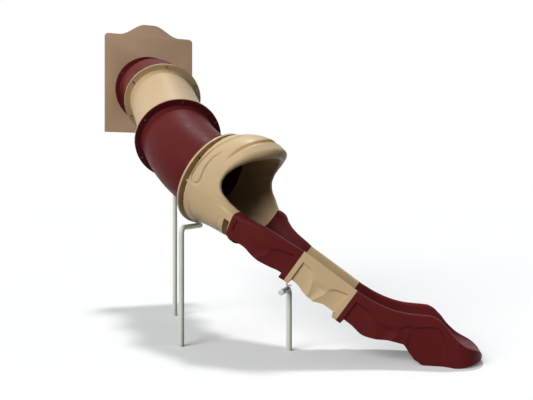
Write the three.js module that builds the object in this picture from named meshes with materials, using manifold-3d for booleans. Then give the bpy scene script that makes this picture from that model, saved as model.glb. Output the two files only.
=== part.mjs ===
// Playground tube slide: an entry panel, three round tube sections, a hooded exit
// and three open chutes, on three bent pipe posts. Millimetres, +Z up.
// The slide is laid out from the entry hole: +X runs out of the panel's face.

import * as THREE from 'three';
import { mergeVertices } from 'three/addons/utils/BufferGeometryUtils.js';
import Module from 'manifold-3d';

const wasm = await Module();
wasm.setup();

// Driving dimensions of the route
const holeHeight = 2826;
const tubeSlope = 30.3;
const hoodHeading = 36;
const hoodSlope = 29;
const chuteHeading = 60;
const chuteSlope = 36;
const upperBendRadius = 2035;
const exitRailHeight = 601.084;
const lowerBendRadius = 1475;

// Driving dimensions of the moulded tubes
const barrelRadius = 381;
const tubeWall = 8;
const flangeWidth = 76;
const flangeRadius = barrelRadius + flangeWidth;
const flangeThick = 20;
const flangeRoot = 18;
const boltEdge = 33;
const boltCircle = flangeRadius - boltEdge;
const jointGap = 0.4;
const seatGap = 0.3;
const aroundSteps = 32;
const bendSteps = 6;

// Entry panel
const panelHalf = 596;
const panelThick = 19;
const panelBelow = 584;
const panelShoulder = 745;
const panelArch = 896;
const panelCorner = 50;
const archFlat = 60;
const archHalf = 400;

// Exit hood
const hoodLength = 619;
const hoodFlangeOver = 22;
const hoodFlangeRadius = flangeRadius + hoodFlangeOver;
const hoodFlangeThick = 22;
const hoodGrooveOver = 19;
const hoodGrooveRadius = barrelRadius + hoodGrooveOver;
const hoodGrooveEnd = 48;
const hoodBackInset = 24;
const hoodBackRadius = hoodFlangeRadius - hoodBackInset;
const hoodMouthRadius = 424;
const hoodTopRise = 180;
const hoodEndDepth = 312;
const hoodSkin = 8;
const hoodEndWall = 10;
const lipRadius = 52;
const pocketLength = 60;
const pocketWidth = 165;
const pocketDepth = 160;
const pocketFloor = 35;

// Open chutes
const upperBend = 1547;
const upperHeading = 34.5;
const upperSlope = 33;
const upperHalf = 394;
const upperRailRound = 80;
const upperRailWidth = 104;
const upperCrest = upperHalf - upperRailRound;
const upperInner = upperHalf - upperRailWidth;
const upperShoulder = 40;
const upperTrough = 240;
const upperFlangeDrop = 78;
const upperFlangeDepth = upperTrough + upperFlangeDrop;
const upperPower = 3.6;
const upperRoll = 3;
const upperSag = 4;
const skirtTuck = 20;
const crestDrop = 11;
const chuteHalf = 292;
const chuteRailRound = 26;
const chuteRailWidth = 54;
const chuteCrest = chuteHalf - chuteRailRound;
const chuteInner = chuteHalf - chuteRailWidth;
const chuteShoulder = 12;
const chuteTrough = 220;
const chuteFlangeDrop = 86;
const chuteFlangeDepth = chuteTrough + chuteFlangeDrop;
const chuteWeb = 14;
const chuteBand = 44;
const bandWall = 12;
const chuteCorner = 26;
const chuteWall = 8;
const recessTop = 78;
const recessRamp = 8;
const middleLength = 544;
const exitLength = 1024;
const recessDepth = 14;
const footWidth = 60;
const footThick = 8;
const flangeProud = 1.5;
const webInset = 0.5;
const webLift = 2;
const toeLift = 52;
const toeRim = 8.11;

// Pipe posts
const pipeRadius = 25.4;
const pipeWall = 3.2;
const pipeBend = 60;
const pipeSides = 12;
const capThick = 5;
const bracketPlate = 6;
const bracketWidth = 50;
const bracketFoot = 40;
const bracketLap = 54;
const rearReach = 386;
const rearHeading = -11.96;
const frontReach = 410.3;
const frontHeading = 145.59;
const shortBack = 32.2;
const shortSide = -20.8;
const rearArmDrop = 16;
const frontArmDrop = 38;
const shortArmDrop = 87;
const rearOverrun = 40;
const frontOverrun = 70;
const shortArm = 257;
const shortHeading = -37;
const plugDepth = 12;

// Fasteners
const boltRadius = 6.35;
const headRadius = 11;
const headThick = 8;
const nutThick = 11;
const holeRadius = 8;
const holeSides = 6;
const ringBolts = 6;
const hoodBoltRadius = 345;
const hoodBoltAngles = [50, 70];
const chuteBoltSpan = 230;
const chuteBoltSteps = 4;
const chuteBoltLift = 36;

// Colours and finishes
const beige = { color: 0xc6a97a, roughness: 0.45, metalness: 0 };
const maroon = { color: 0x642425, roughness: 0.4, metalness: 0 };
const panelBeige = { color: 0xa78a68, roughness: 0.6, metalness: 0 };
const pipeGrey = { color: 0xc4c9b8, roughness: 0.45, metalness: 0.3 };
const zinc = { color: 0x8d9093, roughness: 0.35, metalness: 0.9 };
const capGrey = { color: 0xb9bdb2, roughness: 0.5, metalness: 0 };

const group = new THREE.Group();
const vec = (x, y, z) => new THREE.Vector3(x, y, z);
const rad = THREE.MathUtils.degToRad;

// A station is a place on the route with its own axes: along, up and left.
function station(origin, heading, slope) {
  const h = rad(heading);
  const s = rad(slope);
  const along = vec(Math.cos(h) * Math.cos(s), Math.sin(h) * Math.cos(s), -Math.sin(s));
  const left = vec(-Math.sin(h), Math.cos(h), 0);
  return { origin: origin.clone(), along, left, up: along.clone().cross(left) };
}

// The point of a station's frame at w to the right, n up and a along.
function at(place, w, n, a = 0) {
  const p = place.origin.clone();
  return p.addScaledVector(place.left, -w).addScaledVector(place.up, n).addScaledVector(place.along, a);
}

function moved(place, a) {
  return { ...place, origin: at(place, 0, 0, a) };
}

// An arc that leaves a station and turns its direction to a new one.
function bend(place, target, radius) {
  const axis = place.along.clone().cross(target.along).normalize();
  const angle = place.along.angleTo(target.along);
  const toCentre = axis.clone().cross(place.along);
  const centre = place.origin.clone().addScaledVector(toCentre, radius);
  const frame = (length) => {
    const turn = new THREE.Quaternion().setFromAxisAngle(axis, length / radius);
    const origin = place.origin.clone().sub(centre).applyQuaternion(turn).add(centre);
    const spin = (v) => v.clone().applyQuaternion(turn);
    return { origin, along: spin(place.along), left: spin(place.left), up: spin(place.up) };
  };
  return { frame, length: angle * radius };
}

// A straight lead, an arc to a new direction and a straight tail.
function bentRoute(place, target, radius, lead, tail) {
  const arc = bend(moved(place, lead), target, radius);
  const end = arc.frame(arc.length);
  const frame = (a) => {
    if (a < lead) return moved(place, a);
    if (a < lead + arc.length) return arc.frame(a - lead);
    return moved(end, a - lead - arc.length);
  };
  return { frame, length: lead + arc.length + tail, lead, arc: arc.length };
}

function straight(place, length) {
  return { frame: (a) => moved(place, a), length };
}

// Plain closed geometry: merged corners, faces pointing out.
function closed(geometry) {
  let plain = geometry.clone();
  for (const name of Object.keys(plain.attributes)) {
    if (name !== 'position') plain.deleteAttribute(name);
  }
  plain.clearGroups();
  plain = mergeVertices(plain, 1e-3);
  const p = plain.attributes.position;
  const index = [...plain.index.array];
  const kept = [];
  for (let i = 0; i < index.length; i += 3) {
    const [a, b, c] = index.slice(i, i + 3);
    if (a !== b && b !== c && c !== a) kept.push(a, b, c);
  }
  let volume = 0;
  const [A, B, C] = [vec(0, 0, 0), vec(0, 0, 0), vec(0, 0, 0)];
  for (let i = 0; i < kept.length; i += 3) {
    A.fromBufferAttribute(p, kept[i]);
    B.fromBufferAttribute(p, kept[i + 1]);
    C.fromBufferAttribute(p, kept[i + 2]);
    volume += A.dot(B.clone().cross(C));
  }
  if (volume < 0) kept.reverse();
  plain.setIndex(kept);
  return plain;
}

function solid(geometry) {
  const plain = closed(geometry);
  const vertProperties = new Float32Array(plain.attributes.position.array);
  const triVerts = new Uint32Array(plain.index.array);
  return new wasm.Manifold(new wasm.Mesh({ numProp: 3, vertProperties, triVerts }));
}

function fromSolid(body) {
  const mesh = body.getMesh();
  const geometry = new THREE.BufferGeometry();
  geometry.setAttribute('position', new THREE.BufferAttribute(mesh.vertProperties, 3));
  geometry.setIndex(new THREE.BufferAttribute(mesh.triVerts, 1));
  return geometry;
}

function add(name, body, finish) {
  const geometry = body.isBufferGeometry ? closed(body) : fromSolid(body);
  geometry.computeVertexNormals();
  const mesh = new THREE.Mesh(geometry, new THREE.MeshStandardMaterial(finish));
  mesh.name = name;
  group.add(mesh);
}

// Turns a geometry drawn in left, up, along axes into place at a station.
function placed(geometry, place) {
  const basis = new THREE.Matrix4().makeBasis(place.left, place.up, place.along);
  return geometry.clone().applyMatrix4(basis.setPosition(place.origin));
}

// A closed profile of [radius, along] points turned round a route.
function turned(profile, route, steps) {
  const lathe = new THREE.LatheGeometry(profile.map(([r, a]) => new THREE.Vector2(r, a)), steps);
  const p = lathe.attributes.position;
  for (let i = 0; i < p.count; i += 1) {
    const here = route.frame(p.getY(i));
    const q = at(here, p.getX(i), p.getZ(i));
    p.setXYZ(i, q.x, q.y, q.z);
  }
  return lathe;
}

// Joins rings of points: rows close on themselves, and columns close or are capped.
function skin(rings, cyclic) {
  const count = rings[0].length;
  const points = rings.flat().flatMap((q) => [q.x, q.y, q.z]);
  const index = [];
  const last = cyclic ? rings.length : rings.length - 1;
  for (let i = 0; i < last; i += 1) {
    const k = (i + 1) % rings.length;
    for (let j = 0; j < count; j += 1) {
      const m = (j + 1) % count;
      const [a, b, c, d] = [i * count + j, i * count + m, k * count + m, k * count + j];
      index.push(a, b, c, a, c, d);
    }
  }
  const geometry = new THREE.BufferGeometry();
  geometry.setAttribute('position', new THREE.Float32BufferAttribute(points, 3));
  geometry.setIndex(index);
  return geometry;
}

// A loft through flat sections of [w, n] points, each at its own station.
function loft(sections) {
  const rings = sections.map(({ place, points }) => points.map(([w, n]) => at(place, w, n)));
  const geometry = skin(rings, false);
  const index = [...geometry.index.array];
  const cap = (k, flip) => {
    const flat = sections[k].points.map(([w, n]) => new THREE.Vector2(w, n));
    const turn = THREE.ShapeUtils.isClockWise(flat);
    const list = turn ? [...flat].reverse() : flat;
    const number = (i) => k * flat.length + (turn ? flat.length - 1 - i : i);
    for (const face of THREE.ShapeUtils.triangulateShape(list, [])) {
      const corners = face.map(number);
      index.push(...(flip === turn ? corners : corners.reverse()));
    }
  };
  const across = (ring) => {
    const flat = sections[ring].points.map(([w, n]) => new THREE.Vector2(w, n));
    return THREE.ShapeUtils.isClockWise(flat);
  };
  const outward = across(0);
  cap(0, !outward);
  cap(sections.length - 1, outward);
  geometry.setIndex(index);
  return geometry;
}

function shapeOf(points) {
  return new THREE.Shape(points.map(([x, y]) => new THREE.Vector2(x, y)));
}

function plate(points, thick) {
  return new THREE.ExtrudeGeometry(shapeOf(points), { depth: thick, bevelEnabled: false });
}

function smooth(x) {
  const t = THREE.MathUtils.clamp(x, 0, 1);
  return t * t * (3 - 2 * t);
}

// Reads a hand-made table of [key, value] rows with straight lines between them.
function read(table, key, column = 1) {
  let i = 0;
  while (i < table.length - 2 && key > table[i + 1][0]) i += 1;
  const [a, b] = [table[i], table[i + 1]];
  const t = THREE.MathUtils.clamp((key - a[0]) / (b[0] - a[0]), 0, 1);
  return a[column] + (b[column] - a[column]) * t;
}

// The route, from the entry hole to the end of the middle chute
const hole = vec(0, 0, holeHeight);
const entry = station(hole, 0, 0);
const stub = flangeThick + jointGap;
const upperRoute = bentRoute(entry, station(hole, 0, tubeSlope), upperBendRadius, stub, stub);
const jointB = station(upperRoute.frame(upperRoute.length).origin, 0, tubeSlope);

function lowerJoints(jointC) {
  const lowerRoute = bentRoute(jointC, station(hole, hoodHeading, hoodSlope), lowerBendRadius, stub, stub);
  const jointD = station(lowerRoute.frame(lowerRoute.length).origin, hoodHeading, hoodSlope);
  const joint1 = station(at(jointD, 0, -crestDrop, hoodLength), hoodHeading, hoodSlope);
  const chuteStart = station(joint1.origin, upperHeading, upperSlope);
  const chuteRoute = bend(chuteStart, station(hole, chuteHeading, chuteSlope), upperBend);
  const joint2 = station(chuteRoute.frame(chuteRoute.length).origin, chuteHeading, chuteSlope);
  const joint3 = moved(joint2, middleLength);
  return { lowerRoute, jointD, joint1, chuteRoute, joint2, joint3 };
}

// The straight tube takes up the height that the other sections leave.
const spareHeight = lowerJoints(jointB).joint3.origin.z - exitRailHeight;
const straightLength = spareHeight / Math.sin(rad(tubeSlope));
const straightRoute = straight(jointB, straightLength);
const jointC = moved(jointB, straightLength);
const { lowerRoute, jointD, joint1, chuteRoute, joint2, joint3 } = lowerJoints(jointC);

// A round hole along a station's axis, between two places on it.
function drill(place, w, n, from, to) {
  const length = Math.abs(to - from) + 2 * holeRadius;
  const pin = new THREE.CylinderGeometry(holeRadius, holeRadius, length, holeSides);
  pin.rotateX(Math.PI / 2);
  const middle = { ...place, origin: at(place, w, n, (from + to) / 2) };
  return solid(placed(pin, middle));
}

// Bolt places on a ring, the first one at the bottom.
function ringPlaces(count) {
  return Array.from({ length: count }, (_, i) => {
    const angle = (2 * Math.PI * i) / count;
    return [boltCircle * Math.sin(angle), -boltCircle * Math.cos(angle)];
  });
}

// A hexagon bolt with its nut run up, from the face under the head to the face under the nut.
function bolt(name, place, [w, n], headFace, nutFace) {
  const way = Math.sign(nutFace - headFace);
  const under = headFace - way * seatGap;
  const onto = nutFace + way * seatGap;
  const profile = [
    [0, under - way * headThick],
    [headRadius, under - way * headThick],
    [headRadius, under],
    [boltRadius, under],
    [boltRadius, onto],
    [headRadius, onto],
    [headRadius, onto + way * nutThick],
    [0, onto + way * nutThick],
  ];
  const axis = { ...place, origin: at(place, w, n) };
  add(name, turned(profile, straight(axis, 0), holeSides), zinc);
}

// A round tube section with a flange at each end.
function tubeSection(route, steps, drilled) {
  const inner = barrelRadius - tubeWall;
  const first = jointGap / 2;
  const last = route.length - jointGap / 2;
  const root = flangeThick + flangeRoot;
  const spans = Array.from({ length: steps - 1 }, (_, i) => (i + 1) / steps);
  const profile = [
    [inner, first],
    [flangeRadius, first],
    [flangeRadius, first + flangeThick],
    [barrelRadius + flangeRoot, first + flangeThick],
    [barrelRadius, first + root],
    ...spans.map((t) => [barrelRadius, first + root + t * (last - first - 2 * root)]),
    [barrelRadius, last - root],
    [barrelRadius + flangeRoot, last - flangeThick],
    [flangeRadius, last - flangeThick],
    [flangeRadius, last],
    [inner, last],
    ...spans.map((t) => [inner, last - t * (last - first)]),
    [inner, first],
  ];
  let body = solid(turned(profile, route, aroundSteps));
  for (const [place, from, to] of drilled) {
    for (const [w, n] of ringPlaces(ringBolts)) body = body.subtract(drill(place, w, n, from, to));
  }
  return body;
}

// The entry panel, a flat board with an arched top and the entry hole.
function entryPanel() {
  const shape = new THREE.Shape();
  const rise = panelArch - panelShoulder;
  shape.moveTo(-panelHalf, -panelBelow);
  shape.lineTo(panelHalf, -panelBelow);
  shape.lineTo(panelHalf, panelShoulder - panelCorner);
  shape.absarc(panelHalf - panelCorner, panelShoulder - panelCorner, panelCorner, 0, Math.PI / 2);
  const archSteps = 10;
  for (let i = -archSteps; i <= archSteps; i += 1) {
    const x = -Math.sign(i) * (archFlat + ((archHalf - archFlat) * Math.abs(i)) / archSteps);
    const lift = 1 - smooth((Math.abs(x) - archFlat) / (archHalf - archFlat));
    shape.lineTo(i === 0 ? 0 : x, panelShoulder + (i === 0 ? rise : rise * lift));
  }
  shape.absarc(-panelHalf + panelCorner, panelShoulder - panelCorner, panelCorner, Math.PI / 2, Math.PI);
  const opening = new THREE.Path();
  opening.absarc(0, 0, barrelRadius - tubeWall, 0, 2 * Math.PI);
  shape.holes.push(opening);
  const settings = { depth: panelThick, bevelEnabled: false, curveSegments: aroundSteps / 4 };
  const board = new THREE.ExtrudeGeometry(shape, settings);
  let body = solid(placed(board, moved(entry, -panelThick - jointGap / 2)));
  for (const [w, n] of ringPlaces(ringBolts)) {
    body = body.subtract(drill(entry, w, n, -panelThick, flangeThick));
  }
  return body;
}

// The hood is one shell round its axis. These tables run by the angle from its
// bottom: how far the mouth's edge lies along the hood, the lip's size and the
// side's radius at the edge.
const edgeShares = [
  [88.5, 0.97], [92, 0.86], [96, 0.755], [101, 0.64], [107, 0.58], [113, 0.555], [120, 0.555],
  [130, 0.585], [140, 0.64], [150, 0.7], [160, 0.77], [170, 0.82], [180, 0.84],
];
const lipShares = [
  [88.5, 0.22], [92, 0.3], [96, 0.38], [113, 0.42], [130, 0.6], [150, 0.9], [165, 1], [180, 1],
];
const sideShares = [[88.5, 0.77], [92, 0.86], [96, 0.94], [101, 0.985], [107, 1], [180, 1]];
const topShares = [
  [0.08, 0.19], [0.32, 0.67], [0.46, 0.86], [0.56, 0.95], [0.65, 1], [0.76, 0.96], [0.9, 0.9],
];
const hoodAngles = [
  0, 12, 24, 36, 48, 60, 70, 77, 82.6, 85.6, 88.5, 92, 96,
  101, 107, 113, 120, 128, 137, 147, 158, 169, 180,
];
const railAngle = 88;
const shoulderAngle = 82.6;
const sideStartAngle = 78;
const sideEndAngle = 101;

// The round of joint 1 without its rails, seen from the hood's axis.
function bowlRadius(angle) {
  const t = rad(angle);
  const sum = (Math.abs(Math.sin(t)) / upperHalf) ** upperPower
    + (Math.abs(Math.cos(t)) / hoodEndDepth) ** upperPower;
  return sum ** (-1 / upperPower);
}

// The outer edge of joint 1.
function jointRadius(angle) {
  const k = smooth((angle - shoulderAngle) / (railAngle - shoulderAngle));
  return bowlRadius(angle) + (upperCrest + chuteWall - bowlRadius(angle)) * k;
}

// Where the hood's side heads for, from that round to the mouth's sides.
function sideRadius(angle) {
  const k = smooth((angle - sideStartAngle) / (sideEndAngle - sideStartAngle));
  const round = bowlRadius(Math.min(angle, 90));
  return round + (hoodMouthRadius - round) * k;
}

// The trough's inner radius at joint 1, seen from the hood's axis.
function troughRadius(angle) {
  const lift = upperInner - upperTrough - crestDrop;
  const c = Math.cos(rad(angle));
  return -lift * c + Math.sqrt(lift * lift * (c * c - 1) + upperInner * upperInner);
}

function hoodEdge(angle) {
  const open = angle > railAngle;
  const edge = open ? hoodLength * read(edgeShares, angle) : hoodLength - jointGap;
  const lip = open ? lipRadius * read(lipShares, angle) : 0;
  const outer = open ? hoodMouthRadius * read(sideShares, angle) : jointRadius(angle);
  return { open, edge, lip, outer };
}

function hoodOuter(angle, a) {
  const { open, edge, outer } = hoodEdge(angle);
  const t = ((a - hoodGrooveEnd) / (edge - hoodGrooveEnd)) ** (open ? 1 : 0.8);
  const swell = hoodTopRise * smooth((angle - 95) / 85);
  const side = sideRadius(angle);
  const turnedIn = (outer - side) * t ** 6;
  return hoodBackRadius + (side - hoodBackRadius) * t + turnedIn + swell * read(topShares, a / hoodLength);
}

function hoodInner(angle, a) {
  const { open, edge, lip } = hoodEdge(angle);
  const start = barrelRadius - tubeWall;
  const end = open ? hoodOuter(angle, edge) - 2 * lip : troughRadius(angle);
  return start + (end - start) * (a / edge) ** (open ? 2 : 1);
}

function hoodProfile(angle) {
  const { open, edge, lip } = hoodEdge(angle);
  const outer = hoodOuter(angle, edge);
  const inner = hoodInner(angle, edge);
  const back = hoodGrooveEnd + tubeWall / 2;
  const rows = [0.15, 0.35, 0.55, 0.75, 0.92].map((t) => back + t * (edge - back));
  const turn = [45, 90, 135].map((d) => rad(d));
  const middle = outer - lip;
  const end = (t, i) => (open
    ? [middle + lip * Math.cos(t), edge + lip * Math.sin(t)]
    : [outer + ((inner - outer) * (i + 1)) / 4, edge]);
  return [
    [barrelRadius - tubeWall, 0],
    [hoodFlangeRadius, 0],
    [hoodFlangeRadius, hoodFlangeThick],
    [hoodGrooveRadius, hoodFlangeThick],
    [hoodGrooveRadius, hoodGrooveEnd],
    [hoodOuter(angle, back), back],
    ...rows.map((a) => [hoodOuter(angle, a), a]),
    [outer, edge],
    ...turn.map(end),
    [inner, edge],
    ...[0.75, 0.5, 0.25].map((t) => [hoodInner(angle, t * edge), t * edge]),
  ];
}

function hoodCavity(angle) {
  const { open, edge } = hoodEdge(angle);
  const first = hoodGrooveEnd + tubeWall + hoodSkin;
  const last = open ? edge : edge - hoodEndWall;
  const out = [0, 0.25, 0.5, 0.75, 1].map((t) => first + t * (last - first));
  const home = [1, 0.66, 0.33, 0].map((t) => first + t * (last - first));
  return [
    ...out.map((a) => [hoodOuter(angle, a) - hoodSkin, a]),
    ...home.map((a) => [hoodInner(angle, a) + hoodSkin, a]),
  ];
}

function hoodShell(profile, from) {
  const angles = [...hoodAngles, ...hoodAngles.slice(1, -1).reverse().map((t) => -t)];
  const ring = (angle) => profile(Math.abs(angle)).map(([r, a]) => {
    const t = rad(angle);
    return at(jointD, r * Math.sin(t), -r * Math.cos(t), a + from);
  });
  return solid(skin(angles.map(ring), true));
}

function hoodBoltPlaces() {
  return [-1, 1].flatMap((side) => hoodBoltAngles.map((angle) => {
    const t = rad(side * angle);
    return [hoodBoltRadius * Math.sin(t), -hoodBoltRadius * Math.cos(t)];
  }));
}

function exitHood() {
  let body = hoodShell(hoodProfile, jointGap / 2).subtract(hoodShell(hoodCavity, 0));
  const middleAngle = (hoodBoltAngles[0] + hoodBoltAngles[1]) / 2;
  for (const side of [-1, 1]) {
    const pocket = new THREE.BoxGeometry(pocketDepth, pocketWidth, pocketLength);
    pocket.rotateZ(rad(side * (90 - middleAngle)));
    const t = rad(side * middleAngle);
    const reach = hoodBoltRadius - pocketFloor + pocketDepth / 2;
    const end = hoodLength - jointGap / 2 - hoodEndWall - pocketLength / 2;
    const place = { ...jointD, origin: at(jointD, reach * Math.sin(t), -reach * Math.cos(t), end) };
    body = body.subtract(solid(placed(pocket, place)));
  }
  for (const [w, n] of ringPlaces(ringBolts)) {
    body = body.subtract(drill(jointD, w, n, 0, hoodFlangeThick - holeRadius / 2));
  }
  for (const [w, n] of hoodBoltPlaces()) {
    body = body.subtract(drill(jointD, w, n, hoodLength - hoodEndWall, hoodLength));
  }
  return body;
}

// Half of a chute's section, from the skirt's foot up over the rail to the bed.
function chuteSection({ half, crest, inner, shoulder, trough, skirt, recess, tuck, power }) {
  const bow = (a, d, degrees) => [
    a * Math.cos(rad(degrees)) ** (2 / power),
    -d * Math.sin(rad(degrees)) ** (2 / power),
  ];
  const band = Math.min(recessTop, skirt * 0.4) + shoulder / 2;
  const inside = half - recess;
  const shelf = Math.min(crest, half - chuteWall * 1.5);
  const top = [
    [inside - tuck, -skirt],
    [inside - tuck * 0.4, -(skirt + band) / 2],
    [inside, -band - recess / 2],
    [half, -band],
    [half, -shoulder],
    [half - (half - crest) * 0.35, -shoulder * 0.35],
    [crest, 0],
    [(crest + inner) / 2, -trough * 0.03],
    ...[12, 28, 45, 62, 77].map((d) => bow(inner, trough, d)),
    [0, -trough],
  ];
  const under = [
    [inside - tuck - chuteWall, -skirt],
    [inside - tuck * 0.4 - chuteWall, -(skirt + band) / 2],
    [inside - chuteWall, -band - (recess + chuteWall) / 2],
    [half - recess / 2 - chuteWall, -shoulder - chuteWall],
    [shelf, -chuteWall * 1.2 - trough * 0.02],
    ...[20, 45, 70].map((d) => bow(Math.min(inner + chuteWall, shelf), trough + chuteWall, d)),
    [0, -trough - chuteWall],
  ];
  return { top, under };
}

// Both halves of a line of points that ends on the middle.
function mirrored(points) {
  return [...points, ...points.slice(0, -1).reverse().map(([w, n]) => [-w, n])];
}

function chuteLoop(values) {
  const { top, under } = chuteSection(values);
  return [...mirrored(top), ...mirrored(under).reverse()];
}

// A flange web fills a section down to its depth; its top edge runs inside the walls.
function webOutline(values, foot) {
  const { under } = chuteSection({ ...values, recess: 0, tuck: 0 });
  const side = values.half + flangeProud;
  const line = under.slice(3).map(([w, n]) => [w, n + webLift]);
  const feet = foot(side, values.depth);
  return [
    ...feet,
    ...mirrored([[side, -values.shoulder - chuteWall], ...line]),
    ...feet.reverse().map(([w, n]) => [-w, n]),
  ];
}

function squareFoot(side, depth) {
  return [
    [side - chuteCorner, -depth],
    [side - chuteCorner * 0.3, -depth + chuteCorner * 0.3],
    [side, -depth + chuteCorner],
  ];
}

function roundFoot(side, depth) {
  return [0, 15, 30, 42, 54, 66, 78].map((d) => [
    side * Math.sin(rad(d)) ** (2 / upperPower),
    -depth * Math.cos(rad(d)) ** (2 / upperPower),
  ]);
}

// A plate across a station; right and left are flipped, because it is drawn in left and up.
function webPlate(place, outline, from, to) {
  const flat = outline.map(([w, n]) => [-w, n]);
  return solid(placed(plate(flat, to - from), moved(place, from)));
}

// An end flange: a web across the joint with a short band along the sides.
function endFlange(place, values, foot, way) {
  const near = (jointGap / 2) * way;
  const far = near + chuteBand * way;
  const span = (a, b) => [Math.min(a, b), Math.max(a, b)];
  const block = webPlate(place, webOutline(values, foot), ...span(near, far));
  const side = values.half + flangeProud - bandWall;
  const open = foot === squareFoot
    ? [[side, -values.depth - bandWall]]
    : roundFoot(side, values.depth - bandWall);
  const lid = [[side, bandWall], [-side, bandWall]];
  const hollow = [...open, ...lid, ...open.reverse().map(([w, n]) => [-w, n])];
  return block.subtract(webPlate(place, hollow, ...span(near + chuteWeb * way, far + bandWall * way)));
}

function drillWeb(body, place, places, way) {
  const from = (jointGap / 2) * way;
  const to = from + chuteWeb * way;
  return places.reduce((rest, [w, n]) => rest.subtract(drill(place, w, n, from, to)), body);
}

const joint1Values = {
  half: upperHalf,
  crest: upperCrest,
  inner: upperInner,
  shoulder: upperShoulder,
  trough: upperTrough,
  depth: upperFlangeDepth,
  tuck: skirtTuck,
  recess: 0,
  power: 2.1,
};
const chuteValues = {
  half: chuteHalf,
  crest: chuteCrest,
  inner: chuteInner,
  shoulder: chuteShoulder,
  trough: chuteTrough,
  depth: chuteFlangeDepth,
  tuck: 0,
  recess: 0,
  power: 2.6,
};

function blended(from, to, k) {
  const mix = (key) => from[key] + (to[key] - from[key]) * k;
  return Object.fromEntries(Object.keys(from).map((key) => [key, mix(key)]));
}

// A station with its left axis level.
function level(place) {
  const left = vec(0, 0, 1).cross(place.along).normalize();
  return { ...place, left, up: place.along.clone().cross(left) };
}

// Tips a station's right side up.
function rolled(place, degrees) {
  const turn = new THREE.Quaternion().setFromAxisAngle(place.along, rad(-degrees));
  const spin = (v) => v.clone().applyQuaternion(turn);
  return { ...place, left: spin(place.left), up: spin(place.up) };
}

// The upper chute turns with the slide and banks towards the inside of its bend.
const upperSkirtShares = [
  [0, 0.75], [0.33, 0.79], [0.5, 0.9], [0.6, 0.93], [0.75, 0.9], [0.88, 0.856], [1, 0.856],
];
function upperChute() {
  const length = chuteRoute.length;
  const end = jointGap / 2 + webInset;
  const middles = [0.2, 0.35, 0.5, 0.65, 0.8].map((t) => t * length);
  const rows = [end, chuteBand, ...middles, length - chuteBand, length - end];
  const sections = rows.map((a) => {
    const t = a / length;
    const bank = Math.sin(Math.PI * t) ** 2;
    const place = a > chuteBand ? rolled(level(chuteRoute.frame(a)), upperRoll * bank) : moved(joint1, a);
    const values = blended(joint1Values, chuteValues, smooth(t));
    const skirt = chuteFlangeDepth * read(upperSkirtShares, t);
    const sagged = { ...place, origin: at(place, 0, -upperSag * bank) };
    return { place: sagged, points: chuteLoop({ ...values, skirt }) };
  });
  let body = solid(loft(sections));
  body = body.add(endFlange(joint1, joint1Values, roundFoot, 1));
  body = body.add(endFlange(joint2, chuteValues, squareFoot, -1));
  body = drillWeb(body, joint1, hoodBoltPlaces().map(([w, n]) => [w, n + crestDrop]), 1);
  return drillWeb(body, joint2, chuteBoltPlaces(), -1);
}

function chuteBoltPlaces() {
  return Array.from({ length: chuteBoltSteps + 1 }, (_, i) => (
    [chuteBoltSpan * ((2 * i) / chuteBoltSteps - 1), chuteBoltLift - chuteFlangeDepth]
  ));
}

// The middle chute is straight; its skirt has a shallow recess between the flanges.
const middleSkirtShares = [
  [0, 0.856], [0.165, 0.856], [0.25, 0.88], [0.33, 0.93], [0.48, 0.967], [0.56, 0.97],
  [0.6, 0.935], [0.73, 0.863], [1, 0.85],
];
function middleChute() {
  const end = jointGap / 2 + webInset;
  const ends = [end, chuteBand, chuteBand + recessRamp];
  const middles = [0.25, 0.36, 0.56, 0.7].map((t) => t * middleLength);
  const rows = [...ends, ...middles, ...ends.map((a) => middleLength - a).reverse()];
  const sections = rows.map((a) => {
    const recess = a > chuteBand && a < middleLength - chuteBand ? recessDepth : 0;
    const skirt = chuteFlangeDepth * read(middleSkirtShares, a / middleLength);
    return { place: moved(joint2, a), points: chuteLoop({ ...chuteValues, recess, skirt }) };
  });
  let body = solid(loft(sections));
  body = body.add(endFlange(joint2, chuteValues, squareFoot, 1));
  body = body.add(endFlange(joint3, chuteValues, squareFoot, -1));
  body = drillWeb(body, joint2, chuteBoltPlaces(), 1);
  return drillWeb(body, joint3, chuteBoltPlaces(), -1);
}

// The exit chute levels out, stands on two foot strips and ends in a round toe. Its
// tables run by the share of its length in plan; heights are shares of the rail's
// height over the toe's tip.
const exitHeightShares = [
  [0, 1], [0.085, 0.8978], [0.165, 0.8167], [0.246, 0.7533], [0.324, 0.7089], [0.402, 0.6811],
  [0.48, 0.67], [0.578, 0.6556], [0.639, 0.6056], [0.676, 0.5378], [0.707, 0.4767], [0.745, 0.3789],
  [0.783, 0.3033], [0.822, 0.2389], [0.862, 0.1933], [0.9, 0.1622], [0.935, 0.1322], [0.964, 0.0956],
  [0.986, 0.0511], [1, 0],
];
const exitTiltShares = [
  [0, 1], [0.085, 0.861], [0.165, 0.722], [0.246, 0.556], [0.324, 0.417], [0.402, 0.278],
  [0.446, 0.19], [0.524, 0],
];
const exitTroughShares = [
  [0, 1], [0.165, 1.01], [0.246, 1.07], [0.324, 1.07], [0.402, 1.02], [0.578, 1], [0.639, 0.909],
  [0.676, 0.8], [0.707, 0.68], [0.745, 0.477], [0.783, 0.327], [0.822, 0.2], [0.862, 0.123],
  [0.9, 0.077], [0.935, 0.05], [1, 0.03],
];
const exitSkirtShares = [
  [0, 0.85], [0.085, 0.882], [0.165, 0.97], [0.246, 0.908], [0.324, 0.827], [0.402, 0.843],
  [0.446, 1.06], [0.48, 1.258],
];
const toeLiftShares = [[0.783, 0], [0.862, 0.077], [0.935, 0.27], [0.964, 0.46], [0.986, 0.73], [1, 1]];
const exitRowShares = [
  0.085, 0.165, 0.246, 0.324, 0.402, 0.446, 0.48, 0.524, 0.578, 0.639, 0.676, 0.707, 0.745, 0.783, 0.822,
  0.862, 0.9, 0.935, 0.964, 0.984, 0.994,
];
const footStartShare = 0.524;
const footEndShare = 0.765;
const toeStartShare = 0.773;

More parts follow.
